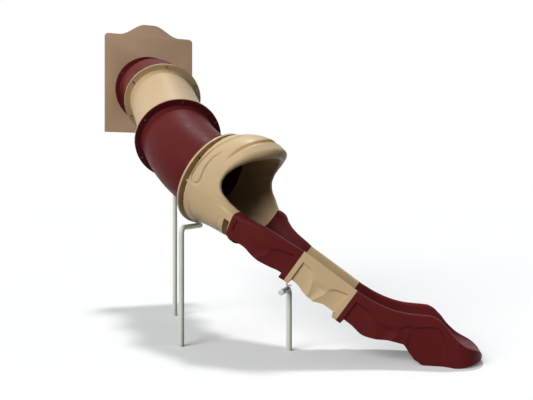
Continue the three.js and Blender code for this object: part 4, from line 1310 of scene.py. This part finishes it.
def foot_inset(t, depth):
    """How far the foot's side panel is set in under its wavy edge, at a share of the chute."""
    below = depth - read(FOOT_EDGE, t)
    inset = FOOT_INSET * smooth(below / read(FOOT_RAMP, t)) + FOOT_LEAN * np.maximum(below, 0)
    return smooth((t - FOOT_EDGE[0][0]) / FOOT_RUN_IN) * inset


def flange_corner(s, depth):
    """The round lower corner of an end flange."""
    x = np.clip(depth - (s.chute_depth - s.chute_corner), 0, s.chute_corner)
    return s.chute_corner - np.sqrt(s.chute_corner**2 - x**2)


def band_loop(s, section):
    """The outline of a section in the band behind an end flange."""
    return section_loop(s, section, s.chute_depth, lambda depth: flange_corner(s, depth))


def chute_rows(s, span, lead, lead_rows, rows):
    """Places along a chute with a band at its far end, closer together beside its bands."""
    end, band = s.joint_gap / 2 + ROW_INSET, s.chute_band
    near = [(end, BAND_ROWS), (band, 1), (band + BAND_STEP, lead_rows), (band + lead, rows)]
    tail = [(span - band - TAIL_LENGTH, TAIL_ROWS), (span - band - BAND_STEP, 1)]
    return spaced([*near, *tail, (span - band, BAND_ROWS), (span - end, 1)])


def extruded(outline, place, start, end, edge=0.0):
    """A plate across a station from a closed outline of (w, n)."""
    flat = np.array(outline)
    outward = flat - flat.mean(0)
    outward /= np.linalg.norm(outward, axis=1, keepdims=True)
    rings = []
    for a, share in ((start, edge), (start + edge, 0), (end - edge, 0), (end, edge)):
        drawn = flat - outward * share
        rings.append(place.points(drawn[:, 0], drawn[:, 1], a))
    return loft(rings)


# End flanges: a web's lift and inset, bevels and corners, then the round flange's own
WEB_LIFT, WEB_INSET, WEB_EDGE, BAR_EDGE = 0.003, 0.001, 0.0015, 0.002
WEB_CORNER_POINTS = 6
BAR_CORNER_SIDE, BAR_CORNER_DROP = 0.3, 0.06
ROUND_POINTS, ROUND_END_ANGLE, ROUND_EDGE_STEPS = 61, 84, 3
ROUND_OVERHANG, ROUND_WEB_SHARE = 0.001, 0.995


def web_outline(s, section, foot):
    """A flange's web: it fills the section under the bed down to the flange's depth."""
    angles = np.radians(np.linspace(WEB_START_ANGLE, 90, WEB_POINTS))
    line = bowl(section, s.wall, angles) + np.array([0, WEB_LIFT])
    side = (section.half - s.wall / 2, -section.shoulder - s.wall * 2)
    right = [*foot, side, *map(tuple, line)]
    return right + [(-w, n) for w, n in reversed(right[:-1])]


def square_flange(s, place, section, way):
    """The web and the bottom bar of a chute's end flange."""
    near, depth = way * s.joint_gap / 2, s.chute_depth
    corner, side = s.chute_corner, s.chute_half - WEB_INSET
    turns = np.linspace(0, math.pi / 2, WEB_CORNER_POINTS)
    start = side - corner
    foot = [(start + corner * math.sin(t), -depth + corner - corner * math.cos(t)) for t in turns]
    span = sorted((near, near + way * s.chute_web))
    web = extruded(web_outline(s, section, foot), place, *span, edge=WEB_EDGE)
    end = side - corner * BAR_CORNER_SIDE
    bar = [(end, s.band_wall - depth), (end, corner * BAR_CORNER_DROP - depth), (start, -depth)]
    bar += [(-w, n) for w, n in reversed(bar)]
    span = sorted((near, near + way * s.chute_band))
    return [web, extruded(divided(bar, OUTLINE_SPACING), place, *span, edge=BAR_EDGE)]


def round_flange(s, place):
    """The bowl-shaped flange that meets the hood."""
    depth, side, power = s.upper_depth, s.upper_half + ROUND_OVERHANG, 2 / HOOD_POWER
    turns = np.radians(np.linspace(ROUND_END_ANGLE, -ROUND_END_ANGLE, ROUND_POINTS))
    size = np.abs(np.sin(turns)) ** power * np.sign(np.sin(turns))
    outer = np.stack([side * size, -depth * np.cos(turns) ** power], -1)
    wall, edge = s.band_wall, s.edge_round
    start, end = s.joint_gap / 2, s.joint_gap / 2 + s.chute_band
    corners = [(0, start, edge), (0, end, 2 * edge), (wall, end, edge), (wall, start, 0)]
    section = rounded(corners, ROUND_EDGE_STEPS)
    heading = np.gradient(outer, axis=0)
    inward = np.stack([heading[:, 1], -heading[:, 0]], -1)
    inward /= np.linalg.norm(inward, axis=1, keepdims=True)
    rings = []
    for (w, n), (dw, dn) in zip(outer, inward):
        spots = np.array([(w + dw * t, n + dn * t, a) for t, a in section])
        rings.append(place.points(*spots.T))
    right = outer[ROUND_POINTS // 2 : 1 : -1] * ROUND_WEB_SHARE
    foot = [(abs(w), n) for w, n in right]
    web = extruded(web_outline(s, start_section(s), foot), place, start, start + s.chute_web)
    return [loft(rings), web]


UPPER_ROLL = math.radians(3)
UPPER_SAG = 0.004
UPPER_SETTLE, UPPER_FLARE_EASE = 0.16, 0.25
UPPER_RECESS_SHARE, RECESS_FAINT_SHARE, RECESS_FULL_SHARE = 0.8, 0.3, 0.7
SLOT_DEPTH, SLOT_TOP, SLOT_FOOT, SLOT_RAMP = 0.009, 0.055, 0.150, 0.008
SLOT_START, SLOT_END, SLOT_END_RAMP = 0.006, 0.028, 0.006


def upper_place(layout, a):
    """A place on the upper chute: it starts level with the hood, sags and banks in the bend."""
    bank = math.sin(math.pi * a / layout.chute_length) ** 2
    route = layout.chute(a).levelled().rolled(UPPER_ROLL * bank)
    start = layout.joint1.moved(a)
    settled = eased(a, 0, UPPER_SETTLE)
    place = Station(
        start.origin.lerp(route.origin, settled),
        start.along.lerp(route.along, settled).normalized(),
        start.left.lerp(route.left, settled).normalized(),
    )
    return Station(place.at(0, -UPPER_SAG * bank), place.along, place.left, place.up)


def upper_inset(s, span, a, depth):
    """How far the upper chute's side goes in: its recess, and the slot behind the hood."""
    share = (a - s.chute_band) / (span - 2 * s.chute_band)
    faint = UPPER_RECESS_SHARE * eased(share, RECESS_FAINT_SHARE, RECESS_FULL_SHARE)
    slot = SLOT_DEPTH * between(depth, SLOT_TOP, SLOT_FOOT, SLOT_RAMP)
    slot *= between(a - s.chute_band, SLOT_START, SLOT_END, SLOT_END_RAMP)
    return lobe_inset(s, share, depth) * faint + slot


def upper_chute(s, layout):
    """The bent chute, which widens towards the hood."""
    span = layout.chute_length
    rings = []
    for a in chute_rows(s, span, lead=0.04, lead_rows=18, rows=80):
        t = a / span
        widened = UPPER_FLARE_EASE * smooth(t) + (1 - UPPER_FLARE_EASE) * t
        section = start_section(s).towards(chute_section(s), widened)
        if a > span - s.chute_band - BAND_STEP / 2:
            loop = band_loop(s, section)
        else:
            skirt = s.chute_depth * read(UPPER_SKIRT_SHARES, t)
            loop = section_loop(s, section, skirt, lambda depth: upper_inset(s, span, a, depth))
        rings.append(upper_place(layout, a).points(*loop.T))
    bodies = [loft(rings), *round_flange(s, layout.joint1)]
    bodies += square_flange(s, layout.joint2, chute_section(s), -1)
    kept(solid("upper_chute_shell", bodies), "maroon_plastic", "upper_chute")


def middle_chute(s, layout):
    """The straight chute between two square flanges."""
    span, section = s.middle_length, chute_section(s)
    start, length_between = s.chute_band, s.middle_length - 2 * s.chute_band
    rings = []
    for a in chute_rows(s, span, lead=0.02, lead_rows=6, rows=76):
        if start + BAND_STEP / 2 < a < span - start - BAND_STEP / 2:
            share = (a - start) / length_between
            skirt = s.chute_depth * read(MIDDLE_SKIRT_SHARES, a / span)
            loop = section_loop(s, section, skirt, lambda depth: lobe_inset(s, share, depth))
        else:
            loop = band_loop(s, section)
        rings.append(layout.joint2.moved(a).points(*loop.T))
    bodies = [loft(rings), *square_flange(s, layout.joint2, section, 1)]
    bodies += square_flange(s, layout.joint3, section, -1)
    kept(solid("middle_chute_shell", bodies), "beige_plastic", "middle_chute")


class ExitRow:
    """The exit chute's place, section and skirt at a share of its length in plan."""

    def __init__(self, s, layout, t):
        joint = layout.joint3.origin
        run = Station.aimed(joint, s.chute_heading, 0)
        tip = s.toe_lift + TOE_RIM
        z = tip + (joint.z - tip) * read(EXIT_HEIGHT_SHARES, t)
        origin = run.at(0, z - joint.z, t * s.exit_length)
        tilt = s.chute_slope * read(EXIT_TILT_SHARES, t)
        self.place = Station.aimed(origin, s.chute_heading, tilt)
        reach = max(0.0, (t - TOE_START_SHARE) / (1 - TOE_START_SHARE))
        narrow = math.sqrt(1 - reach * reach)
        full = chute_section(s)
        self.section = full._replace(
            half=full.half * narrow,
            crest=full.crest * narrow,
            inner=full.inner * narrow,
            shoulder=full.shoulder * (1 - reach * TOE_FLATTENING),
            trough=full.trough * read(EXIT_TROUGH_SHARES, t),
        )
        high = s.chute_depth * read(EXIT_SKIRT_SHARES, t)
        low = z - s.toe_lift * read(TOE_LIFT_SHARES, t)
        self.skirt = high + (low - high) * eased(t, EXIT_SKIRT_SHARES[-1][0], FOOT_START_SHARE)


def exit_chute(s, layout):
    """The chute that levels out into a foot on the ground, with its rounded toe."""
    band, section = s.chute_band, chute_section(s)
    flat = math.cos(s.chute_slope) / s.exit_length
    rings = []
    for a in spaced([(s.joint_gap / 2 + ROW_INSET, BAND_ROWS), (band, 1)]):
        rings.append(layout.joint3.moved(a).points(*band_loop(s, section).T))
    for t in spaced([((band + BAND_STEP) * flat, 90), *EXIT_ROWS]):
        row = ExitRow(s, layout, t)
        share = (t / flat - band) / (FOOT_START_SHARE / flat - band)
        fade = eased(t, LOBES_END_SHARE, LOBES_FADE_SHARE)

        def inset(depth):
            return np.maximum(lobe_inset(s, share, depth) * fade, foot_inset(t, depth))

        loop = section_loop(s, row.section, row.skirt, inset)
        rings.append(row.place.points(*loop.T))
    bodies = [loft(rings), *square_flange(s, layout.joint3, section, 1)]
    kept(solid("exit_chute_shell", bodies), "maroon_plastic", "exit_chute")


# Posts, their caps and brackets

# Each arm's heading, the distance from the post to the flange it carries, how far the arm
# runs on past it and how far the arm's crown is under it
REAR_HEADING, FRONT_HEADING, SHORT_HEADING = (math.radians(a) for a in (-11.96, 145.59, -37))
REAR_REACH, REAR_OVERRUN, REAR_DROP = 0.386, 0.040, 0.016
FRONT_REACH, FRONT_OVERRUN, FRONT_DROP = 0.4103, 0.070, 0.038
SHORT_BACK, SHORT_SIDE, SHORT_ARM, SHORT_DROP = 0.0322, -0.0208, 0.257, 0.087
PIPE_STEPS, PIPE_BEND_STEPS = 48, 16
CAP_RIM_SHARE, CAP_SHOULDER, CAP_CENTRE = 0.4, 0.001, 0.0001
DOME_STEPS, DOME_END_ANGLE = 8, 86


def level(heading):
    """A level direction."""
    return Vector((math.cos(heading), math.sin(heading), 0))


class Post:
    """Where a post stands, how high its arm is and where it ends."""

    def __init__(self, s, foot, heading, crown, reach):
        self.foot = Vector((foot.x, foot.y, 0))
        self.corner = Vector((foot.x, foot.y, crown - s.pipe))
        self.end = self.corner + level(heading) * reach
        self.arm = Station.aimed(self.end, heading, 0)


def posts(s, layout):
    """The three posts by name."""
    made = {}
    for name, joint, heading, reach, overrun, drop in (
        ("rear", layout.c, REAR_HEADING, REAR_REACH, REAR_OVERRUN, REAR_DROP),
        ("front", layout.d, FRONT_HEADING, FRONT_REACH, FRONT_OVERRUN, FRONT_DROP),
    ):
        rim = joint.at(0, -s.flange)
        foot = rim - level(heading) * reach
        made[name] = Post(s, foot, heading, rim.z - drop, reach + overrun)
    rim = layout.joint2.at(0, -s.chute_depth)
    foot = rim - Vector((SHORT_BACK, SHORT_SIDE, 0))
    made["short"] = Post(s, foot, SHORT_HEADING, rim.z - SHORT_DROP, SHORT_ARM)
    return made


def bent_posts(s, layout):
    """The posts as pipes along their paths, each with the cap of its arm."""
    tree = pipe_tree()
    for name, post in posts(s, layout).items():
        path = polyline(name + " path", [post.foot, post.corner, post.end], "MINIMUM")
        values = {
            "Radius": s.pipe,
            "Bend radius": s.pipe_bend,
            "Bend steps": PIPE_BEND_STEPS,
            "Steps around": PIPE_STEPS,
            "Material": finish("pipe_coat"),
        }
        piece = tree.applied(path, name + "_post_pipe", values)
        kept(piece, "pipe_coat", name + "_post")
        cap = solid(name + "_arm_cap", [cap_body(s, post.arm)])
        kept(cap, "cap_plastic", name + "_post_cap")


def cap_body(s, place):
    """A domed end cap with a small rim."""
    start, rim = s.seat_gap, s.seat_gap + s.cap_thick * CAP_RIM_SHARE
    dome_radius = s.pipe - CAP_SHOULDER
    profile = [(CAP_CENTRE, start), (s.pipe, start), (s.pipe, rim)]
    for t in np.radians(np.linspace(0, DOME_END_ANGLE, DOME_STEPS)):
        radius = dome_radius - (dome_radius - CAP_CENTRE) * (1 - math.cos(t))
        profile.append((radius, rim + s.cap_thick * (1 - CAP_RIM_SHARE) * math.sin(t)))
    turns = np.linspace(0, math.tau, PIPE_STEPS, endpoint=False)
    return loft([place.points(r * np.cos(turns), r * np.sin(turns), a) for r, a in profile])


BRACKET_PLATE, BRACKET_WIDTH, BRACKET_FOOT, BRACKET_LAP = 0.006, 0.050, 0.040, 0.054
BRACKET_EDGE, BRACKET_BEVEL = 0.001, 0.0008


def bracket_body(s, joint, slope, rim, face, crown, foot):
    """A bent plate: a tab on a flange, a riser and a foot on the arm's crown."""
    sin, cos = math.sin(slope), math.cos(slope)
    top, neck = BRACKET_LAP - rim, -rim - 2 * s.seat_gap
    low = crown + s.seat_gap - joint.origin.z
    spot = lambda a, n: (a * cos + n * sin, n * cos - a * sin)
    back = face - BRACKET_PLATE
    inside, outside = (face, back) if foot > 0 else (back, face)
    bend, heel = spot(inside, neck), spot(outside, neck)
    edge = BRACKET_EDGE
    outline = [
        (*spot(inside, top), edge),
        (*bend, 2 * edge),
        (bend[0], low + BRACKET_PLATE, 4 * edge),
        (bend[0] + foot, low + BRACKET_PLATE, edge),
        (bend[0] + foot, low, edge),
        (heel[0], low, 8 * edge),
        (*heel, 4 * edge),
        (*spot(outside, top), edge),
    ]
    up, half = Vector((0, 0, 1)), BRACKET_WIDTH / 2
    forward = joint.left.cross(up)
    side = Station(joint.origin, forward.cross(up), -forward, up)
    return extruded(rounded(outline), side, -half, half, BRACKET_BEVEL)


def brackets(s, layout):
    """A bracket from each arm to the flange above it."""
    made = posts(s, layout)
    tube_face = -s.flange_thick - s.joint_gap / 2 - s.seat_gap
    web_face = -s.chute_web - s.joint_gap / 2 - s.seat_gap
    rows = (
        ("rear", layout.c, s.tube_slope, s.flange, tube_face, -BRACKET_FOOT),
        ("front", layout.d, s.hood_slope, s.flange, tube_face, BRACKET_FOOT),
        ("short", layout.joint2, s.chute_slope, s.chute_depth, web_face, BRACKET_FOOT),
    )
    for name, joint, slope, rim, face, foot in rows:
        crown = made[name].corner.z + s.pipe
        body = bracket_body(s, joint, slope, rim, face, crown, foot)
        kept(solid(name + "_bracket_plate", [body]), "pipe_coat", name + "_bracket")


# Fasteners

HOOD_BOLT_RADIUS = 0.345
HOOD_BOLT_ANGLES = (50, 70)
CHUTE_BOLT_SPAN = 0.230
CHUTE_BOLT_STEPS = 4
CHUTE_BOLT_LIFT = 0.036

# Rings of a head and a nut: shares of the radius and of the height
HEAD_RINGS = ((0.92, 0.0), (0.95, 0.1), (1.0, 0.14), (1.0, 0.82), (0.87, 1.0))
NUT_RINGS = ((0.87, 0.0), (1.0, 0.16), (1.0, 0.84), (0.87, 1.0))
NUT_SHARE, TIP_START_SHARE, TIP_CHAMFER, TIP_SHARE = 0.68, 0.5, 0.0012, 0.8
SHAPE_SHARP_ANGLE, BOLT_SHARP_ANGLE = 20, 25


def ring_places(s):
    """The bolts of a round flange, from the bottom round."""
    turns = [math.tau * k / s.ring_bolts for k in range(s.ring_bolts)]
    return [(s.bolt_circle * math.sin(t), -s.bolt_circle * math.cos(t)) for t in turns]


def hood_bolt_places():
    """The bolts in the hood's two pockets."""
    turns = [math.radians(side * angle) for side in (-1, 1) for angle in HOOD_BOLT_ANGLES]
    return [(HOOD_BOLT_RADIUS * math.sin(t), -HOOD_BOLT_RADIUS * math.cos(t)) for t in turns]


def chute_bolt_places(s):
    """The row of bolts in a square flange, under the bed."""
    shares = [2 * k / CHUTE_BOLT_STEPS - 1 for k in range(CHUTE_BOLT_STEPS + 1)]
    return [(CHUTE_BOLT_SPAN * k, CHUTE_BOLT_LIFT - s.chute_depth) for k in shares]


def ring(radius, z, steps):
    """A level ring of points."""
    turns = [math.tau * k / steps for k in range(steps)]
    return [(radius * math.cos(t), radius * math.sin(t), z) for t in turns]


def head_shape(s):
    """A hexagon head with a washer face below and chamfered corners on top."""
    rings = [ring(s.head * share, s.head_thick * high, HEXAGON) for share, high in HEAD_RINGS]
    return dressed(solid("bolt head shape", [loft(rings)]), "zinc_steel", SHAPE_SHARP_ANGLE)


def nut_shape(s):
    """A nut with the bolt's chamfered end standing out of it."""
    high, end = s.nut_thick * NUT_SHARE, s.nut_thick
    rings = [ring(s.head * share, -high * down, HEXAGON) for share, down in NUT_RINGS]
    start = high * TIP_START_SHARE
    spots = ((s.bolt, start), (s.bolt, end - TIP_CHAMFER), (s.bolt * TIP_SHARE, end))
    tip = [ring(radius, -down, SHANK_STEPS) for radius, down in spots]
    shape = solid("nut shape", [loft(rings), loft(tip)])
    return dressed(shape, "zinc_steel", SHAPE_SHARP_ANGLE)


def fasteners(s, layout):
    """Each joint's bolts, placed by one node tree."""
    half, thick, web = s.joint_gap / 2, s.flange_thick, s.chute_web
    around, row = ring_places(s), chute_bolt_places(s)
    hood_end, chute_end = s.hood_length - half - HOOD_END_WALL, s.hood_length + half + web
    joints = (
        ("entry", layout.entry, around, half + thick, -half - s.panel_thick, None),
        ("upper", layout.b, around, half + thick, -half - thick, None),
        ("lower", layout.c, around, half + thick, -half - thick, 0),
        ("hood", layout.d, around, half + s.hood_flange_thick, -half - thick, 0),
        ("chute_a", layout.d, hood_bolt_places(), hood_end, chute_end, None),
        ("chute_b", layout.joint2, row, half + web, -half - web, 2),
        ("chute_c", layout.joint3, row, half + web, -half - web, None),
    )
    head, nut, tree = head_shape(s), nut_shape(s), fastener_tree()
    values = {
        "Head": head,
        "Nut": nut,
        "Shank radius": s.bolt,
        "Material": finish("zinc_steel"),
    }
    for name, place, spots, head_face, nut_face, held in joints:
        mesh = joint_points(s, name, place, spots, head_face, nut_face, held)
        piece = tree.applied(linked(name, mesh), name + "_bolts", values)
        nodes = [f"{name}_bolt_{k + 1}" for k in range(len(spots))]
        kept(piece, "zinc_steel", *nodes, sharp=BOLT_SHARP_ANGLE)
    for shape in (head, nut):
        bpy.data.objects.remove(shape)


def joint_points(s, name, place, spots, head_face, nut_face, held):
    """A point under each head, with the bolt's way and grip; one bolt may hold a bracket too."""
    way = math.copysign(1, head_face - nut_face)
    heads, grips = [], []
    for k, (w, n) in enumerate(spots):
        onto = nut_face - (BRACKET_PLATE + s.seat_gap if k == held else 0.0)
        heads.append(place.at(w, n, head_face + way * s.seat_gap))
        grips.append(abs(head_face - onto) + 2 * s.seat_gap)
    mesh = bpy.data.meshes.new(name)
    mesh.from_pydata(heads, [], [])
    ways = mesh.attributes.new("way", "FLOAT_VECTOR", "POINT")
    ways.data.foreach_set("vector", [*(place.along * way)] * len(spots))
    lengths = mesh.attributes.new("grip", "FLOAT", "POINT")
    lengths.data.foreach_set("value", grips)
    return mesh


# The stage

CAMERA_PLACE = (8.4043, -1.2748, 1.399)
CAMERA_HEADING = math.radians(160.5)
FRAME_WIDTH, FRAME_HEIGHT = 533, 400
FOCAL_PIXELS = 609
HORIZON_ROW = 194.7
SENSOR = 36.0
CAMERA_REACH = 200.0
FLOOR_HALF = 60.0
AMBIENT = 0.26
KEY, KEY_AIM, KEY_SPREAD = 1.45, (0.3, -0.05, -1), 7
FILL, FILL_AIM, FILL_SPREAD = 2.75, (-0.5, 0.85, -0.5), 42
FLOOR_BOUNCE = 0.15
FLOOR_GLOW = 0.12
SKY_LOW, SKY_HIGH = 0.1, 0.9
SKY_TINT, WHITE = (0.86, 0.94, 1.0), (1.0, 1.0, 1.0)


def photo_camera(layout):
    """A camera where the photo was taken."""
    data = bpy.data.cameras.new("photo view")
    data.sensor_fit = "HORIZONTAL"
    data.sensor_width = SENSOR
    data.lens = FOCAL_PIXELS * SENSOR / FRAME_WIDTH
    data.shift_y = (HORIZON_ROW - FRAME_HEIGHT / 2) / FRAME_WIDTH
    data.clip_end = CAMERA_REACH
    camera = linked("photo view", data)
    camera.location = layout.ground + Vector(CAMERA_PLACE)
    camera.rotation_euler = (math.pi / 2, 0, CAMERA_HEADING - math.pi / 2)
    bpy.context.scene.camera = camera


def lamp(name, energy, aim, spread):
    """A distant lamp that shines along aim."""
    data = bpy.data.lights.new(name, "SUN")
    data.energy = energy
    data.angle = math.radians(spread)
    light = linked(name, data)
    light.rotation_euler = Vector(aim).to_track_quat("-Z", "Y").to_euler()


def white_floor(layout):
    """A wide level sheet under the slide."""
    size, middle = FLOOR_HALF, layout.ground
    corners = [(-size, -size), (size, -size), (size, size), (-size, size)]
    floor = bpy.data.meshes.new("floor")
    floor.from_pydata([(middle.x + x, middle.y + y, 0) for x, y in corners], [], [(0, 1, 2, 3)])
    floor.materials.append(finish("stage_white"))
    linked("floor", floor)


def white_sky():
    """Plain white where it is seen, and a soft bluish light from above for all else."""
    world = bpy.data.worlds.new("soft studio")
    bpy.context.scene.world = world
    world.use_nodes = True
    nodes = Nodes(world.node_tree)
    nodes.tree.nodes.clear()
    direct = seen_directly(nodes)
    way = nodes.node("ShaderNodeTexCoord", out="Generated")
    rise = nodes.node("ShaderNodeSeparateXYZ", sockets={0: way}, out=2)
    sockets = {"Value": rise, "From Min": SKY_LOW, "From Max": SKY_HIGH}
    dome = nodes.node("ShaderNodeMapRange", sockets=sockets) * AMBIENT
    strength = dome + direct * (dome * -1 + 1)
    tone = nodes.mixed(direct, SKY_TINT, WHITE)
    sky = nodes.node("ShaderNodeBackground", sockets={"Color": tone, "Strength": strength})
    out = nodes.tree.nodes.new("ShaderNodeOutputWorld")
    nodes.tree.links.new(sky.socket, out.inputs["Surface"])


def stage(_, layout):
    """The floor, the light and the camera."""
    white_floor(layout)
    white_sky()
    lamp("key", KEY, KEY_AIM, KEY_SPREAD)
    lamp("fill", FILL, FILL_AIM, FILL_SPREAD)
    photo_camera(layout)
    bpy.context.scene.view_settings.view_transform = "Standard"


# Operators, one for each piece or group of like pieces, and the panel that lists them


def built(context, maker):
    """Calls a maker with the scene's sizes and the joints that follow from them."""
    sizes = context.scene.slide_sizes
    maker(sizes, Layout(sizes))
    return {"FINISHED"}


class SLIDE_OT_entry_panel(bpy.types.Operator):
    """Add the board with the entry hole"""

    bl_idname = "slide.entry_panel"
    bl_label = "Entry panel"

    def execute(self, context):
        return built(context, entry_panel)


class SLIDE_OT_upper_tube(bpy.types.Operator):
    """Add the bent tube behind the entry panel"""

    bl_idname = "slide.upper_tube"
    bl_label = "Upper tube"

    def execute(self, context):
        return built(context, upper_tube)


class SLIDE_OT_straight_tube(bpy.types.Operator):
    """Add the straight tube"""

    bl_idname = "slide.straight_tube"
    bl_label = "Straight tube"

    def execute(self, context):
        return built(context, straight_tube)


class SLIDE_OT_lower_tube(bpy.types.Operator):
    """Add the bent tube before the hood"""

    bl_idname = "slide.lower_tube"
    bl_label = "Lower tube"

    def execute(self, context):
        return built(context, lower_tube)


class SLIDE_OT_exit_hood(bpy.types.Operator):
    """Add the hood at the end of the tubes"""

    bl_idname = "slide.exit_hood"
    bl_label = "Exit hood"

    def execute(self, context):
        return built(context, exit_hood)


class SLIDE_OT_upper_chute(bpy.types.Operator):
    """Add the curved open chute"""

    bl_idname = "slide.upper_chute"
    bl_label = "Upper chute"

    def execute(self, context):
        return built(context, upper_chute)


class SLIDE_OT_middle_chute(bpy.types.Operator):
    """Add the straight open chute"""

    bl_idname = "slide.middle_chute"
    bl_label = "Middle chute"

    def execute(self, context):
        return built(context, middle_chute)


class SLIDE_OT_exit_chute(bpy.types.Operator):
    """Add the open chute that levels out on the ground"""

    bl_idname = "slide.exit_chute"
    bl_label = "Exit chute"

    def execute(self, context):
        return built(context, exit_chute)


class SLIDE_OT_posts(bpy.types.Operator):
    """Add the bent pipe posts and their caps"""

    bl_idname = "slide.posts"
    bl_label = "Posts"

    def execute(self, context):
        return built(context, bent_posts)


class SLIDE_OT_brackets(bpy.types.Operator):
    """Add the brackets between the posts and the flanges"""

    bl_idname = "slide.brackets"
    bl_label = "Brackets"

    def execute(self, context):
        return built(context, brackets)


class SLIDE_OT_fasteners(bpy.types.Operator):
    """Add the bolts of all joints"""

    bl_idname = "slide.fasteners"
    bl_label = "Fasteners"

    def execute(self, context):
        return built(context, fasteners)


class SLIDE_OT_stage(bpy.types.Operator):
    """Add the floor, the light and the camera"""

    bl_idname = "slide.stage"
    bl_label = "Stage"

    def execute(self, context):
        return built(context, stage)


OPERATORS = (
    SLIDE_OT_entry_panel,
    SLIDE_OT_upper_tube,
    SLIDE_OT_straight_tube,
    SLIDE_OT_lower_tube,
    SLIDE_OT_exit_hood,
    SLIDE_OT_upper_chute,
    SLIDE_OT_middle_chute,
    SLIDE_OT_exit_chute,
    SLIDE_OT_posts,
    SLIDE_OT_brackets,
    SLIDE_OT_fasteners,
    SLIDE_OT_stage,
)


class SLIDE_PT_pieces(bpy.types.Panel):
    """Lists the slide's pieces, sizes and colours"""

    bl_idname = "SLIDE_PT_pieces"
    bl_label = "Tube Slide"
    bl_space_type = "VIEW_3D"
    bl_region_type = "UI"
    bl_category = "Tube Slide"

    def draw(self, context):
        column = self.layout.column(align=True)
        for made in OPERATORS:
            column.operator(made.bl_idname)
        for settings in (context.scene.slide_sizes, context.scene.slide_colours):
            box = self.layout.box()
            for name in settings.__annotations__:
                box.prop(settings, name)


CLASSES = (SlideSizes, SlideColours, *OPERATORS, SLIDE_PT_pieces)


def register():
    """Adds the classes and the settings of a scene."""
    for kind in CLASSES:
        bpy.utils.register_class(kind)
    bpy.types.Scene.slide_sizes = PointerProperty(type=SlideSizes)
    bpy.types.Scene.slide_colours = PointerProperty(type=SlideColours)


def unregister():
    """Takes them out again."""
    del bpy.types.Scene.slide_colours
    del bpy.types.Scene.slide_sizes
    for kind in reversed(CLASSES):
        bpy.utils.unregister_class(kind)


def main():
    """Builds everything in order."""
    register()
    for made in OPERATORS:
        name = made.bl_idname.split(".")[1]
        getattr(bpy.ops.slide, name)()


if __name__ == "__main__":
    main()
